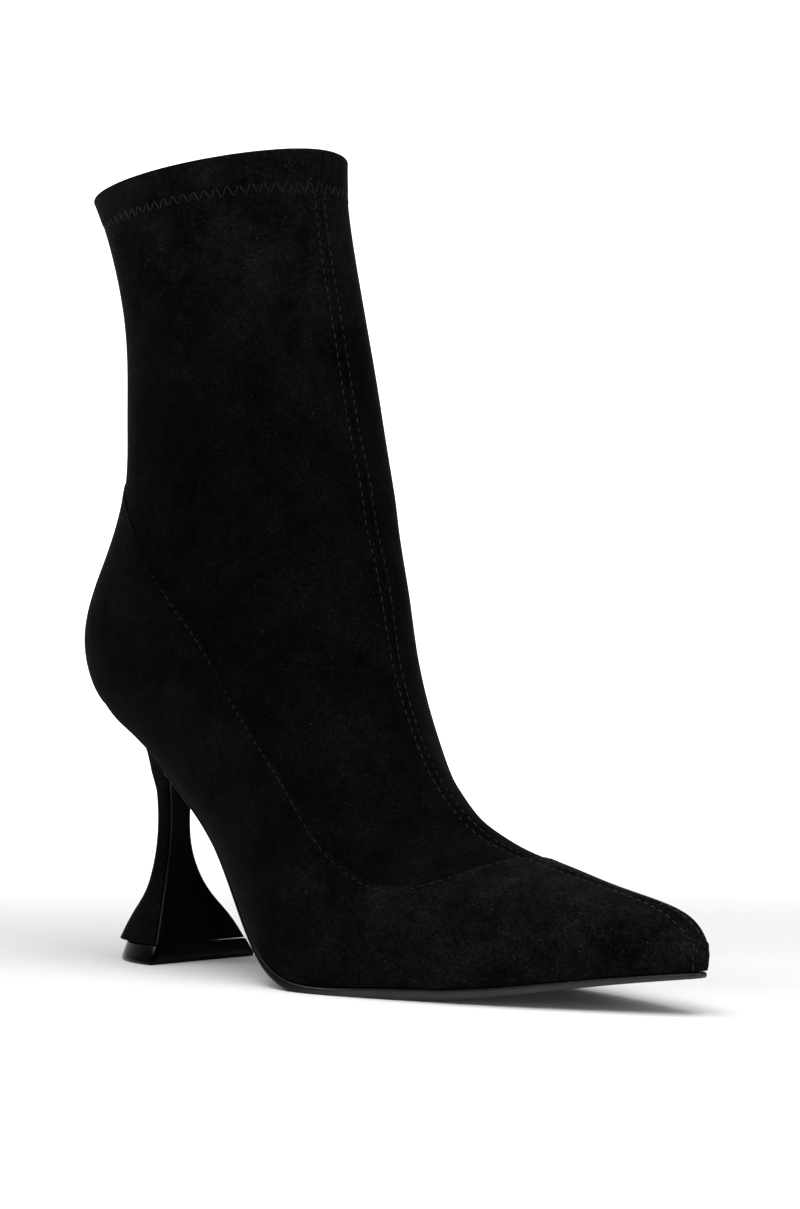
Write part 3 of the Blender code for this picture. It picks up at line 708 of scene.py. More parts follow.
class Wire:
    """Output of a node. Sums, differences and products of wires and numbers make math nodes."""

    def __init__(self, tree, socket):
        self.tree = tree
        self.socket = socket

    def join(self, operation, first, second):
        return wire_from(self.tree, "ShaderNodeMath", {0: first, 1: second}, operation=operation)

    def __add__(self, other):
        return self.join("ADD", self, other)

    def __radd__(self, other):
        return self.join("ADD", other, self)

    def __sub__(self, other):
        return self.join("SUBTRACT", self, other)

    def __rsub__(self, other):
        return self.join("SUBTRACT", other, self)

    def __mul__(self, other):
        return self.join("MULTIPLY", self, other)


def set_inputs(tree, node, inputs):
    """Give each named input of a node a wire or a value."""
    for name, value in inputs.items():
        if isinstance(value, Wire):
            tree.links.new(value.socket, node.inputs[name])
        else:
            node.inputs[name].default_value = value


def wires_from(tree, kind, inputs, outputs, **settings):
    """Chosen outputs of a new node with settings and inputs."""
    node = tree.nodes.new(kind)
    for name, value in settings.items():
        setattr(node, name, value)
    set_inputs(tree, node, inputs)
    return [Wire(tree, node.outputs[name]) for name in outputs]


def wire_from(tree, kind, inputs, output=0, **settings):
    """One output of a new node."""
    return wires_from(tree, kind, inputs, (output,), **settings)[0]


def object_place(tree):
    """Place on the piece."""
    return wire_from(tree, "ShaderNodeTexCoord", {}, "Object")


def noise(place, scale, detail, rough=0.5):
    """Noise over the surface."""
    inputs = {"Vector": place, "Scale": scale, "Detail": detail, "Roughness": rough}
    return wire_from(place.tree, "ShaderNodeTexNoise", inputs, "Fac")


def ramp(value, *stops):
    """Grey ramp between two stops of place and brightness."""
    node = value.tree.nodes.new("ShaderNodeValToRGB")
    for element, (place, grey) in zip(node.color_ramp.elements, stops):
        element.position = place
        element.color = (grey, grey, grey, 1.0)
    set_inputs(value.tree, node, {"Fac": value})
    return Wire(value.tree, node.outputs["Color"])


def bumped(height, strength, depth):
    """Normal of a surface with a relief."""
    inputs = {"Height": height, "Strength": strength, "Distance": depth}
    return wire_from(height.tree, "ShaderNodeBump", inputs)


SURFACE = {"Color": "NodeSocketColor", "Height": "NodeSocketFloat", "Roughness": "NodeSocketFloat"}


def new_group(name, inputs, outputs):
    """Empty shader node group with named sockets: the group, its output node and a wire for each input."""
    group = bpy.data.node_groups.new(name, "ShaderNodeTree")
    for label, value in inputs.items():
        socket = group.interface.new_socket(label, in_out="INPUT", socket_type="NodeSocketFloat")
        socket.default_value = value
    for label, kind in outputs.items():
        group.interface.new_socket(label, in_out="OUTPUT", socket_type=kind)
    return group, group.nodes.new("NodeGroupOutput"), wires_from(group, "NodeGroupInput", {}, inputs)


def put_out(group, result, shade, height, rough):
    """Give a surface group its grey colour, height and roughness."""
    grey = wire_from(group, "ShaderNodeCombineColor", {"Red": shade, "Green": shade, "Blue": shade})
    set_inputs(group, result, {"Color": grey, "Height": height, "Roughness": rough})


def make_suede_nap():
    """Brushed nap: patches where the pile lies another way, short fibres and a few specks of lint."""
    inputs = {"Patch Scale": 48.0, "Fibre Scale": 1250.0, "Dark": 0.001, "Light": 0.005, "Lint": 0.02}
    group, result, (patch_scale, fibre_scale, dark, light, lint) = new_group("suede nap", inputs, SURFACE)
    place = object_place(group)
    broad = ramp(noise(place, patch_scale, 5.0, 0.62), (0.38, 0.0), (0.62, 1.0))
    streak = ramp(noise(place, patch_scale * 5.5, 4.0, 0.6), (0.34, 0.0), (0.66, 1.0))
    fibres = noise(place, fibre_scale, 3.0, 0.7)
    tufts = noise(place, fibre_scale * 0.35, 3.0, 0.6)
    pile = ramp(fibres, (0.36, 0.0), (0.64, 1.0))
    tone = broad * 0.62 + streak * 0.38
    shade = (dark + (light - dark) * tone) * (0.30 + pile * 1.40)
    cells = {"Vector": place, "Scale": 520.0}
    spot, kind = wires_from(group, "ShaderNodeTexVoronoi", cells, ("Distance", "Color"))
    speck = ramp(spot, (0.06, 1.0), (0.14, 0.0))
    rare = ramp(wire_from(group, "ShaderNodeSeparateColor", {"Color": kind}), (0.55, 0.0), (1.0, 1.0))
    put_out(group, result, shade + speck * rare * lint, fibres * 0.55 + tufts * 0.45, 0.86 + pile * 0.14)
    return group


def make_fine_grain():
    """Moulded or coated surface: fine grain, faint cloudiness and rubbed gloss."""
    inputs = {"Grain Scale": 900.0, "Dark": 0.01, "Light": 0.02, "Gloss Low": 0.3, "Gloss High": 0.45}
    group, result, (scale, dark, light, low, high) = new_group("fine grain", inputs, SURFACE)
    place = object_place(group)
    tone = ramp(noise(place, 130.0, 4.0, 0.6), (0.32, 0.0), (0.68, 1.0))
    grain = noise(place, scale, 3.0, 0.6)
    cells = wire_from(group, "ShaderNodeTexVoronoi", {"Vector": place, "Scale": scale}, "Distance",
                      feature="SMOOTH_F1")
    rough = low + (high - low) * (tone * 0.5 + grain * 0.5)
    put_out(group, result, dark + (light - dark) * tone, cells * 0.7 + grain * 0.3, rough)
    return group


def make_thread_twist():
    """Twist of a thread, rubbed bright in some places and buried in the nap in others."""
    inputs = {"Dark": 0.003, "Light": 0.010, "Buried": 0.3}
    group, result, (dark, light, buried) = new_group("thread twist", inputs, SURFACE)
    place = object_place(group)
    twist = noise(place, 2600.0, 2.0)
    patches = ramp(noise(place, 150.0, 3.0, 0.7), (0.36, 0.0), (0.60, 1.0))
    shade = (dark + (light - dark) * twist) * (buried + (1.0 - buried) * patches)
    put_out(group, result, shade, twist, 0.36 + twist * 0.2)
    return group


def make_painted_light():
    """Painted light and shade: a tone that changes along the boot or up it and scales a colour."""
    inputs = {"Along": 0.0, "Up": 0.0, "First Place": 0.0, "Last Place": 0.1, "First Tone": 1.0,
              "Last Tone": 1.0}
    group, result, given = new_group("painted light and shade", inputs, {"Tone": "NodeSocketFloat"})
    along, up, first, last, first_tone, last_tone = given
    x, z = wires_from(group, "ShaderNodeSeparateXYZ", {"Vector": object_place(group)}, ("X", "Z"))
    # painted light and shade: the tone follows the place along the boot or up it
    spans = {"Value": x * along + z * up, "From Min": first, "From Max": last, "To Min": first_tone,
             "To Max": last_tone}
    tone = wire_from(group, "ShaderNodeMapRange", spans, interpolation_type="SMOOTHSTEP")
    set_inputs(group, result, {"Tone": tone})
    return group


def start_material(name):
    """Material with its shader."""
    material = bpy.data.materials.new(name)
    material.use_nodes = True
    return material, material.node_tree, material.node_tree.nodes["Principled BSDF"]


def surface(name, group, values, relief, looks):
    """Material with a shared effect and its values. relief: strength and depth. looks: shader values."""
    material, tree, shader = start_material(name)
    colour, height, rough = wires_from(tree, "ShaderNodeGroup", values, SURFACE, node_tree=group)
    normal = bumped(height, *relief)
    set_inputs(tree, shader, {"Base Color": colour, "Roughness": rough, "Normal": normal, **looks})
    return material


def paint_light_and_shade(material, light_group, values, polish):
    """Paint light and shade into a material's colour, changing from one end of its piece to the other, and
    change a polish with it.
    """
    tree = material.node_tree
    shader = tree.nodes["Principled BSDF"]
    colour = Wire(tree, shader.inputs["Base Color"].links[0].from_socket)
    tone = wire_from(tree, "ShaderNodeGroup", values, "Tone", node_tree=light_group)
    # painted light and shade: the colour is scaled by the tone
    painted_light_colour = wire_from(tree, "ShaderNodeVectorMath", {0: colour, "Scale": tone}, operation="SCALE")
    set_inputs(tree, shader, {"Base Color": painted_light_colour})
    if polish:
        set_inputs(tree, shader, {"Coat Weight": tone, **polish})


def lining_cloth(name):
    """Fine black jersey inside the boot."""
    material, tree, shader = start_material(name)
    place = object_place(tree)
    waves = {"Vector": place, "Scale": 420.0, "Distortion": 1.5, "Detail": 2.0, "Detail Scale": 4.0}
    ribs = wire_from(tree, "ShaderNodeTexWave", waves, "Fac", bands_direction="Y")
    height = ribs + noise(place, 900.0, 2.0) * 0.6
    shade = ramp(height, (0.2, 0.004), (1.0, 0.013))
    normal = bumped(height, 0.4, 0.2 * MM)
    set_inputs(tree, shader, {"Base Color": shade, "Normal": normal, **JERSEY_LOOKS})
    return material


def make_materials():
    """Every material of the boot by its name."""
    nap, grain, twist, light_group = make_suede_nap(), make_fine_grain(), make_thread_twist(), make_painted_light()
    made = {"lining_jersey": lining_cloth("lining_jersey")}
    for name, (scale, dark, light, lint, sheen) in CLOTHS.items():
        values = {"Patch Scale": scale, "Dark": dark, "Light": light, "Lint": lint}
        made[name] = surface(name, nap, values, NAP_RELIEF, {**NAP_LOOKS, "Sheen Weight": sheen})
    for name, (dark, light, buried, shine) in THREADS.items():
        values = {"Dark": dark, "Light": light, "Buried": buried}
        made[name] = surface(name, twist, values, THREAD_RELIEF, {"Specular IOR Level": shine})
    for name, (dark, light, low, high, strength, shine) in COATS.items():
        values = {"Dark": dark, "Light": light, "Gloss Low": low, "Gloss High": high}
        made[name] = surface(name, grain, values, (strength, COAT_RELIEF), {"Specular IOR Level": shine})
    for name, (direction, first, last, first_tone, last_tone) in PAINTED_LIGHT.items():
        values = {direction: 1.0, "First Place": first, "Last Place": last, "First Tone": first_tone,
                  "Last Tone": last_tone}
        paint_light_and_shade(made[name], light_group, values, POLISH.get(name))
    return made


# Upper


def vamp_shares():
    """Shares of the way from the nose to the panel's edge, closest at the nose and near the edge."""
    t = np.linspace(0.0, 1.0, VAMP_ROWS)
    return 0.45 * t ** 1.5 + 0.55 * (1.0 - (1.0 - t) ** 1.5)


def vamp_grid():
    """Stations and sides of the top of the toe across both sides, from the nose to the panel's edge."""
    turn, limit = edge_at(EDGE_TURN)
    part = EDGE_SHARES <= EDGE_TURN
    line = edge_lanes(np.append(EDGE_STATIONS[part], turn), np.append(EDGE_SIDES[part], limit), limit)[2]
    plain = np.linspace(1.0, 2.0, VAMP_LANES)[1:]
    lanes = np.concatenate([-plain[::-1], STRIP_LANES, plain])
    grid = vamp_shares()[:, None] * np.interp(lanes, *line)[None, :]
    return grid, lane_side(grid, lanes[None, :], limit)


def flank_grid(sign):
    """Stations and sides of one flank of the foot panel, from the nose to the back, feather line up."""
    away = 1.0 - np.linspace(0.0, 1.0, FLANK_LINES)
    turn, turn_side = edge_at(EDGE_TURN)
    edge_stations, edge_sides = edge_at(EDGE_TURN + (1.0 - EDGE_TURN) * (1.0 - away ** 1.2))
    toe = turn * vamp_shares()[:-1]
    bottom = np.concatenate([toe, STATIONS["corner"] - (STATIONS["corner"] - turn) * away ** 2.0])
    top = np.concatenate([toe, edge_stations])
    top_side = np.concatenate([np.full(len(toe), turn_side), edge_sides])
    climb = 1.0 - (1.0 - np.linspace(0.0, 1.0, FLANK_ROWS)[None, :]) ** 1.45
    stations = bottom[:, None] + (top - bottom)[:, None] * climb
    low, high = wrap_share(bottom), top_side * wrap_share(top)
    sides = (low[:, None] + (high - low)[:, None] * climb) / wrap_share(stations)
    return stations, sign * np.minimum(sides, 1.0)


def add_foot_panel(material):
    """Vamp, flanks and counter with the rounded lapped edge and the front seam over the toe."""
    skin = Skin()
    edge = np.concatenate([last_point(EDGE_STATIONS, sign * EDGE_SIDES) for sign in (1.0, -1.0)])
    for stations, sides in (vamp_grid(), flank_grid(-1.0), flank_grid(1.0)):
        points = last_point(stations, sides)
        normals = last_normal(stations, sides)
        height = cloth_relief(stations, sides) + lap_relief(points, nearest(points, edge))
        height *= smooth(0.0, NOSE_FADE, stations)
        skin.patch(points + normals * height[..., None], normals)
    for sign in (-1.0, 1.0):
        stations, sides = (grid[:, 0] for grid in flank_grid(sign))
        under, _, feather = base_line(stations)
        under[:, 1] += sign * np.maximum(feather - RIM_WIDTH, 0.0)
        skin.patch(np.stack([last_point(stations, sides), under], axis=1), (0.0, 0.0, -1.0))
    skin.piece("foot_panel", material, "napped_fabric", "upper")


def sock_grid():
    """Stations, sides and heights of the sock: 0 on the panel's edge, 1 at the hem, 2 at the collar."""
    plain = np.linspace(0.0, 1.0, SOCK_LANES)[1:]
    outer, inner, line = edge_lanes(EDGE_STATIONS, EDGE_SIDES, 1.0)
    starts = []
    for sign, lanes in ((-1.0, -outer), (1.0, inner)):
        first = np.interp(1.0, lanes, EDGE_SHARES)
        shares = first + (1.0 - first) * plain
        starts.append((edge_at(shares)[0], sign * np.interp(shares, EDGE_SHARES, lanes)))
    (outer_low, outer_lanes), (inner_low, inner_lanes) = starts
    low = np.concatenate([outer_low[::-1], np.interp(STRIP_LANES, *line), inner_low[:-1]])
    low_lanes = np.concatenate([outer_lanes[::-1], STRIP_LANES, inner_lanes[:-1]])
    high_lanes = np.concatenate([-1.0 - plain[::-1], STRIP_LANES, 1.0 + plain[:-1]])
    hem_rows = np.linspace(1.0, 2.0, HEM_ROWS)[1:]
    rows = np.concatenate([TUCK_ROWS, np.linspace(0.0, 1.0, SOCK_ROWS), hem_rows])
    up = np.where(rows < 1.0, np.sign(rows) * np.abs(rows) ** 1.15, 1.0)[None, :]
    stations = low[:, None] + (STATIONS["hem"] - low)[:, None] * up
    stations = stations + (COLLAR_END - STATIONS["hem"]) * np.maximum(rows[None, :] - 1.0, 0.0)
    lanes = low_lanes[:, None] + (high_lanes - low_lanes)[:, None] * np.clip(up, 0.0, 1.0)
    return stations, lane_side(stations, lanes, 1.0), rows


def hem_relief(points, stations):
    """Second layer behind the hem, pulled in along its zigzag."""
    down = np.linalg.norm(points - points[:, -1:], axis=-1) + RIM_HEIGHT
    near = np.where(stations > STATIONS["calf"], 1.0, 0.0)
    around = passed_along(points[:, -8])[:, None]
    pucker = HEM_PUCKER * np.cos(2.0 * np.pi * around / ZIGZAG_PITCH)
    inner = HEM_SWELL * (1.0 - smooth(*HEM_END, down))
    return MM * near * (inner - (HEM_PULL + pucker) * hump(down, HEM_DEPTH, 1.3 * MM))


def add_sock(material):
    """Stretch sock from under the panel's edge to the folded collar, with its hem turned inside."""
    stations, sides, rows = sock_grid()
    normals = last_normal(stations, sides)
    base = last_point(stations, sides)
    tuck = np.where(rows < 0.0, TUCK_DEPTH, 0.0)[None, :]
    height = cloth_relief(stations, sides) + hem_relief(base, stations)
    outer = base + normals * (height - lap_step(base) - tuck)[..., None]
    top, out, ends = outer[:, -1], normals[:, -1], sides[:, -1:]
    rise = unit(top - outer[:, -2])
    turn = np.linspace(0.0, np.pi, 11)[1:, None, None]
    rim = top - out * RIM_RADIUS * (1.0 - np.cos(turn)) + rise * RIM_HEIGHT * np.sin(turn)
    rim = np.swapaxes(rim, 0, 1)
    fold_stations = np.linspace(COLLAR_END, STATIONS["hem"] - 0.006, 12)[1:]
    fold = inset(fold_stations[None, :], ends, PANEL_WALL + HEM_FOLD)
    edge = inset(STATIONS["hem"] - 0.008, ends, PANEL_WALL - 0.1 * MM)
    skin = Skin()
    skin.patch(outer, normals, closed=True)
    skin.patch(np.concatenate([outer[:, -1:], rim], axis=1), (0.0, 0.0, 1.0), closed=True)
    skin.patch(np.concatenate([rim[:, -1:], fold, edge], axis=1), -normals[:, -1:], closed=True)
    skin.piece("sock", material, "napped_fabric", "upper")


def add_lining(material):
    """Inner face of the upper down to the insole."""
    stations = np.linspace(nose_station(), STATIONS["hem"] - 0.004, LINING_LINES)[:, None]
    sides = np.clip(np.linspace(-1.0, 1.0, LINING_ROWS)[None, :] / wrap_share(stations), -1.0, 1.0)
    skin = Skin()
    skin.patch(inset(stations, sides, PANEL_WALL), -last_normal(stations, sides))
    skin.piece("lining", material, "lining_board", "upper")


# Stitches


def sew(name, rows, length, thread, material, seed):
    """Rows of stitches, each a short plump thread whose ends dip into the cloth, none quite like the next.

    A row has the centres, directions and normals of its stitches.
    """
    centres, tangents, normals = (np.concatenate(parts) for parts in zip(*rows))
    chance = np.random.default_rng(seed)
    lean = chance.normal(0.0, STITCH_LEAN, (len(centres), 1))
    length = length * (1.0 + chance.normal(0.0, STITCH_SPREAD, len(centres)))
    centres = centres - normals * chance.uniform(0.0, STITCH_SINK, (len(centres), 1))
    tangents = unit(tangents)
    tangents = unit(tangents + lean * np.cross(normals, tangents))
    normals = unit(normals - tangents * np.sum(normals * tangents, axis=-1, keepdims=True))
    across = np.cross(normals, tangents)
    along = np.linspace(-1.0, 1.0, 9)
    around = np.linspace(0.0, 2.0 * np.pi, 9)[:-1]
    radius = thread / 2.0
    lift = 0.30 * radius - 1.3 * radius * np.abs(along) ** 3.0
    plump = radius * np.sqrt(np.maximum(1.0 - np.abs(along) ** 3.0, 0.02))[:, None]
    reach = along * length[:, None] / 2.0
    out = centres[:, None, None] + tangents[:, None, None] * reach[:, :, None, None]
    out = out + normals[:, None, None] * (lift[:, None] + plump * np.cos(around))[None, ..., None]
    out += across[:, None, None] * (plump * np.sin(around))[None, ..., None]
    skin = Skin()
    for stitch in out:
        skin.tube(stitch)
    skin.piece(name, material, "napped_fabric")


def row_of(points, normals):
    """Centres, directions and normals of stitches evenly spaced along a line."""
    passed = passed_along(points)
    at = np.arange(STITCH_PITCH / 2.0, passed[-1], STITCH_PITCH)
    run = np.gradient(points, axis=0)
    return [np.stack([np.interp(at, passed, values[:, k]) for k in range(3)], axis=-1)
            for values in (points, run, normals)]


def add_front_stitches(material):
    """A row on either side of the front seam, from the hem to the nose."""
    rows = []
    front = EDGE_STATIONS[0]
    parts = (STATIONS["hem"] + 0.002, front + 0.004, LAP_STEP), (front - 0.005, NOSE_TURN, 0.0)
    for first, last, depth in parts:    # over the sock, then over the toe
        for sign in (-1.0, 1.0):
            stations = np.linspace(first, last, 700)
            sides = (seam_place(stations) + sign * seam_row(stations)) / girth(stations)
            if last == NOSE_TURN:
                down = np.linspace(0.0, 1.0, 60)[1:]
                sides = np.append(sides, sides[-1] + (sign * 0.93 - sides[-1]) * down)
                stations = np.append(stations, NOSE_TURN - 0.35 * NOSE_TURN * down)
            normals = last_normal(stations, sides)
            height = cloth_relief(stations, sides) - depth
            rows.append(row_of(last_point(stations, sides) + normals * height[:, None], normals))
    sew("front_stitches", rows, STITCH, THREAD, material, 11)


def add_panel_stitches(material):
    """A row just inside the lapped edge of the foot panel."""
    rows = []
    for sign in (-1.0, 1.0):
        stations, sides = EDGE_STATIONS[4:], sign * EDGE_SIDES[4:]
        points = last_point(stations, sides)
        normals = last_normal(stations, sides)
        down = unit(np.cross(np.gradient(points, axis=0), normals))
        down *= np.sign(last_point(0.0, 0.0)[0] - points[0, 0]) * np.sign(down[0, 0])
        rows.append(row_of(points + down * PANEL_ROW - normals * ROW_DENT, normals))
    sew("panel_stitches", rows, STITCH, THREAD, material, 12)


def add_hem_zigzag(material):
    """Zigzag that holds the folded hem, round the whole collar."""
    turn = np.linspace(-1.0, 1.0, 1500)
    station = 1.0 - HEM_DEPTH * HEM_STATIONS
    passed = passed_along(inset(station, turn, LAP_STEP))
    legs = 2 * round(passed[-1] / ZIGZAG_PITCH)
    at = np.interp(np.linspace(0.0, passed[-1], legs + 1), passed, turn)
    swing = np.where(np.arange(legs + 1) % 2, 1.0, -1.0) * ZIGZAG_HALF
    corners = inset(station + swing * HEM_STATIONS, at, LAP_STEP + 0.02 * MM)
    runs = np.diff(corners, axis=0)
    normals = last_normal(station, (at[:-1] + at[1:]) / 2.0)
    lengths = np.linalg.norm(runs, axis=1) * 1.02
    rows = [((corners[:-1] + corners[1:]) / 2.0, runs, normals)]
    sew("hem_zigzag", rows, lengths, ZIGZAG_THREAD, material, 13)


# Sole, insole and heel


def edge_loop(stations, drop, spread):
    """Loop round the feather line from the outer side over the toe to the inner side."""
    centre, up, feather = base_line(stations)
    centre = centre - up * drop[:, None]
    slope = np.gradient(feather, centre[:, 0])
    steep = np.sqrt(1.0 + slope ** 2)
    centre[:, 0] -= slope * spread / steep
    outer, inner = centre.copy(), centre.copy()
    outer[:, 1] -= feather + spread / steep
    inner[:, 1] += feather + spread / steep
    return np.concatenate([outer[::-1], inner])


def add_sole_unit(material):
    """Thin outsole with rounded edges, flat under the tread."""
    end = station_of_base(OUTSOLE_END / 100.0 * LENGTH)
    stations = OUTSOLE_START + (end - OUTSOLE_START) * np.linspace(0.0, 1.0, 171) ** 1.15
    table = columns_of(OUTSOLE_COLUMNS, OUTSOLE)
    at = [STATIONS[name] for name in table["section"]]
    thickness = np.interp(stations, at, table["thickness"])
    overhang = np.interp(stations, at, table["overhang"])
    soft = np.minimum(SOLE_ROUND, SOLE_ROUND_SHARE * thickness)
    turns = np.linspace(0.0, QUARTER, 7)
    rings = []
    for turn in turns:
        spread = overhang - soft * (1.0 - math.sin(turn))
        rings.append(edge_loop(stations, GAP + soft * (1.0 - math.cos(turn)), spread))
    for turn in turns:
        above = soft * (1.0 - math.sin(turn))
        ring = edge_loop(stations, GAP + thickness - above, overhang - soft * (1.0 - math.cos(turn)))
        ring[:, 2] = np.maximum(ring[:, 2], np.concatenate([above[::-1], above]))
        rings.append(ring)
    loft_piece("sole_unit", rings, material, "sole_rubber", "outsole")


def add_insole_pad(material):
    """Padded insole inside the upper."""
    stations = np.linspace(INSOLE_START, STATIONS["corner"] - 0.004, 150)
    centre, up, feather = base_line(stations)
    across = np.sin(np.linspace(-QUARTER, QUARTER, 41))
    half = np.maximum(feather - RIM_WIDTH - GAP, 0.2 * MM)
    crown = INSOLE_THICKNESS + INSOLE_CROWN * (1.0 - across ** 2) - INSOLE_EDGE * np.abs(across) ** 24
    base = np.repeat(centre[:, None], len(across), axis=1)
    base[..., 1] += half[:, None] * across[None, :]
    points = base + up[:, None] * crown[None, :, None]
    skin = Skin()
    skin.patch(points, up[:, None])
    skin.patch(base, -up[:, None])
    for edge, ahead in ((0, 1.0), (-1, -1.0)):
        skin.patch(np.stack([points[:, edge], base[:, edge]], axis=1), (0.0, -ahead, 0.0))
        skin.patch(np.stack([points[edge], base[edge]], axis=1), (ahead, 0.0, 0.0))
    skin.piece("insole_pad", material, "lining_board", "insole")


def real_sizes(breast, depth, half):
    """Breast x, depth and half width of the heel in metres."""
    return breast / 100.0 * LENGTH, depth / 100.0 * LENGTH, half / 200.0 * BALL_WIDTH


def heel_curves():
    """Curves of the heel's breast, depth and half width over its level."""
    table = columns_of(HEEL_COLUMNS, HEEL_SECTIONS)
    return [natural_spline(table["level"], table[name]) for name in HEEL_COLUMNS[1:]]


HEEL_CURVES = heel_curves()


def heel_sizes(level):
    """Breast x, depth and half width of the heel at a level."""
    return real_sizes(*(curve(level) for curve in HEEL_CURVES))


def heel_height(level, x_on_seat):
    """Height of a point of the heel: level up to the neck, then spreading to the slope of the seat."""
    foot = TOP_PIECE_HEIGHT + GAP
    straight = foot + (HEEL_NECK - foot) * min(level, 1.0)
    seat = section_at(station_of_base(x_on_seat))["base_z"]
    return straight + (seat - GAP - HEEL_NECK) * max(level - 1.0, 0.0)


def mirrored(x, y):
    """Both sides of a half outline, from the back round the outer side and the front to the back again."""
    return np.concatenate([x, x[::-1]]), np.concatenate([-y, y[::-1]])


def ring_at(x, y, height):
    """Ring of points at a height."""
    return np.stack([x, y, height + 0.0 * x], axis=-1)


def d_ring(breast, depth, half, corner):
    """Closed D: half ellipse round the back, rounded corners and a flat front, mirrored first to last."""
    turn = np.linspace(0.0, QUARTER, 33)
    round_x = breast - corner - (depth - corner) * np.cos(turn)
    bend = np.linspace(0.0, QUARTER, 7)[1:]
    corner_x = breast - corner + corner * np.sin(bend)
    corner_y = half - corner + corner * np.cos(bend)
    flat_y = np.linspace(half - corner, 0.0, 9)[1:]
    x = np.concatenate([round_x, corner_x, np.full_like(flat_y, breast)])
    return mirrored(x, np.concatenate([half * np.sin(turn), corner_y, flat_y]))


def wrap_ring(level):
    """Outline of the wrapped heel at a level, behind the facing."""
    breast, depth, half = heel_sizes(level)
    back = BREAST_PLATE + GAP
    return d_ring(breast - back, depth - back, half, HEEL_CORNER)


def add_heel_wrap(material):
    """Heel block wrapped in the same nap."""
    seat_x = wrap_ring(HEEL_SEAT)[0]
    rings = [ring_at(*wrap_ring(level), heel_height(level, seat_x))
             for level in np.linspace(0.0, HEEL_SEAT, HEEL_RINGS)]
    loft_piece("heel_wrap", rings, material, "heel_wrap", "heel")


def add_heel_facing(material):
    """Smooth facing with rounded edges on the front of the heel."""
    seat_breast = heel_sizes(HEEL_SEAT)[0]
    bend = np.linspace(0.0, QUARTER, 7)
    rings = []
    for level in np.linspace(0.0, HEEL_SEAT, HEEL_RINGS):
        breast, _, half = heel_sizes(level)
        back, front = breast - BREAST_PLATE, breast - FACING_ROUND
        side = half - BREAST_INSET
        flat_y = np.linspace(side - FACING_ROUND, 0.0, 8)[1:]
        hollow = FACING_HOLLOW * (1.0 - (flat_y / side) ** 2)
        x = np.concatenate([[back, back], front + FACING_ROUND * np.sin(bend), breast - hollow])
        y = np.concatenate([[0.0, side], side - FACING_ROUND + FACING_ROUND * np.cos(bend), flat_y])
        rings.append(ring_at(*mirrored(x, y), heel_height(level, seat_breast)))
    loft_piece("heel_facing", rings, material, "smooth_facing", "heel_breast")


def add_facing_beads(material):
    """Fine rounded edge down both sides of the facing."""
    seat_breast = heel_sizes(HEEL_SEAT)[0]
    around = np.linspace(0.0, 2.0 * np.pi, 11)[:-1]
    skin = Skin()
    for sign in (-1.0, 1.0):
        rings = []
        for level in np.linspace(0.0, BEAD_END, 90):
            breast, _, half = heel_sizes(level)
            x = breast - BEAD_SINK + BEAD_RADIUS * np.cos(around)
            y = sign * (half - BREAST_INSET + BEAD_OUT) + BEAD_RADIUS * np.sin(around)
            rings.append(ring_at(x, y, heel_height(level, seat_breast)))
        skin.tube(rings)
    skin.piece("facing_beads", material, "smooth_facing", "heel_breast")


def add_heel_tip(material):
    """Hard glossy tip with softened edges."""
    bend = [(TIP_ROUND * (1.0 - math.sin(turn)), -TIP_ROUND * (1.0 - math.cos(turn)))
            for turn in np.linspace(0.0, QUARTER, 5)]
    levels = bend[::-1] + [(TOP_PIECE_LAND, 0.0), (0.5 * (TOP_PIECE_LAND + TOP_PIECE_HEIGHT), 0.0)]
    levels += [(TOP_PIECE_HEIGHT - drop, spread) for drop, spread in bend]
    foot, head = np.array(TOP_PIECE_FOOT), np.array(TOP_PIECE_HEAD)
    rings = []
    for height, spread in levels:
        share = np.clip((height - TOP_PIECE_LAND) / (TOP_PIECE_HEIGHT - TOP_PIECE_LAND), 0.0, 1.0)
        breast, depth, half = real_sizes(*(foot + share * (head - foot)))
        x, y = d_ring(breast + spread, depth + 2.0 * spread, half + spread, TIP_CORNER)
        rings.append(ring_at(x, y, height))
    loft_piece("heel_tip", rings, material, "heel_tip", "top_piece", sharp=40.0)


# Stage


def pale_floor():
    """White floor with a painted shade behind the boot, and a glow, seen only by the camera, that is
    stronger the farther the floor is from the boot.
    """
    material, tree, shader = start_material("pale_floor")
    place = object_place(tree)
    turned = (0.0, 0.0, QUARTER + VIEW_TURN)
    spot = {"Vector": place, "Location": POOL_PLACE, "Rotation": turned, "Scale": POOL_SIZE}
    pool = wire_from(tree, "ShaderNodeMapping", spot, vector_type="TEXTURE")
    shade = wire_from(tree, "ShaderNodeTexGradient", {"Vector": pool}, "Fac", gradient_type="SPHERICAL")
    # painted shade: the floor's colour darker in a pool behind the boot
    tint = ramp(shade, (0.0, 0.90), (0.7, 0.75))
    away = wire_from(tree, "ShaderNodeVectorMath", {0: place}, "Value", operation="LENGTH")
    glow = wire_from(tree, "ShaderNodeMapRange", {"Value": away, **FLOOR_GLOW})
    seen = wire_from(tree, "ShaderNodeLightPath", {}, "Is Camera Ray")
    set_inputs(tree, shader, {"Base Color": tint, "Emission Color": tint, "Emission Strength": seen * glow,
                              "Roughness": 0.6, "Specular IOR Level": 0.2})
    return material


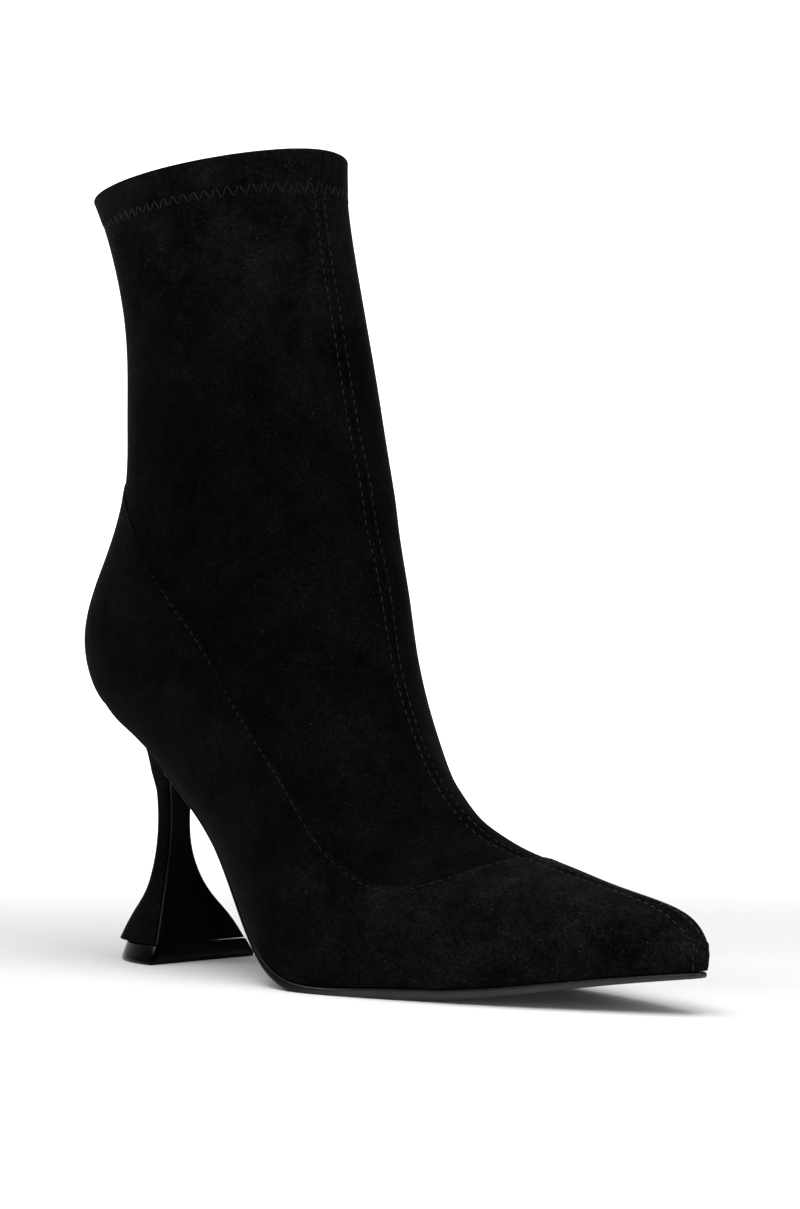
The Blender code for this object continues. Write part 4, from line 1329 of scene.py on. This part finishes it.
def add_floor():
    """Pale floor that sweeps up behind the boot."""
    run = [(FLOOR_FRONT, 0.0)]
    run += [(FLOOR_SWEEP + SWEEP_RADIUS * math.sin(turn), SWEEP_RADIUS - SWEEP_RADIUS * math.cos(turn))
            for turn in np.linspace(0.0, QUARTER, 24)]
    run += [(FLOOR_SWEEP + SWEEP_RADIUS, WALL_HEIGHT)]
    verts = [(VIEW[0] * along - VIEW[1] * side, VIEW[1] * along + VIEW[0] * side, height)
             for along, height in run for side in (-FLOOR_HALF, FLOOR_HALF)]
    faces = [(k, k + 1, k + 3, k + 2) for k in range(0, len(verts) - 2, 2)]
    mesh = bpy.data.meshes.new("floor")
    mesh.from_pydata(verts, [], faces)
    mesh.shade_smooth()
    mesh.materials.append(pale_floor())
    floor = add_object("floor", mesh)


def add_camera():
    """Level camera at the photograph's angle."""
    data = bpy.data.cameras.new("camera")
    data.lens = CAMERA_LENS
    data.sensor_width = SENSOR
    data.clip_start = 0.05
    camera = add_object("camera", data)
    look = Vector((VIEW[0], VIEW[1], 0.0))
    camera.location = Vector(np.array(TARGET) + SHIFT) - look * CAMERA_DISTANCE
    camera.rotation_euler = look.to_track_quat("-Z", "Y").to_euler()
    bpy.context.scene.camera = camera


def add_studio():
    """White surroundings and large soft lights."""
    world = bpy.data.worlds.new("studio")
    world.use_nodes = True
    tree = world.node_tree
    seen = wire_from(tree, "ShaderNodeLightPath", {}, "Is Camera Ray")
    bright = wire_from(tree, "ShaderNodeMapRange", {"Value": seen, **WORLD_GLOW})
    set_inputs(tree, tree.nodes["Background"], {"Color": (1.0, 1.0, 1.0, 1.0), "Strength": bright})
    bpy.context.scene.world = world
    bpy.context.scene.view_settings.view_transform = "Standard"
    for name, (place, aim, size, power) in LIGHTS.items():
        data = bpy.data.lights.new(name, "AREA")
        data.shape = "RECTANGLE"
        data.size, data.size_y = size
        data.energy = power
        light = add_object(name, data)
        light.location = place
        light.rotation_euler = (Vector(aim) - Vector(place)).to_track_quat("-Z", "Y").to_euler()


def main():
    made = make_materials()
    add_foot_panel(made["panel_nap"])
    add_sock(made["sock_nap"])
    add_lining(made["lining_jersey"])
    add_front_stitches(made["seam_thread"])
    add_panel_stitches(made["panel_thread"])
    add_hem_zigzag(made["hem_thread"])
    add_sole_unit(made["sole_rubber"])
    add_insole_pad(made["insole_cover"])
    add_heel_wrap(made["heel_nap"])
    add_heel_facing(made["facing_coat"])
    add_facing_beads(made["facing_bead"])
    add_heel_tip(made["tip_gloss"])
    add_floor()
    add_camera()
    add_studio()
    bpy.context.view_layer.update()


main()
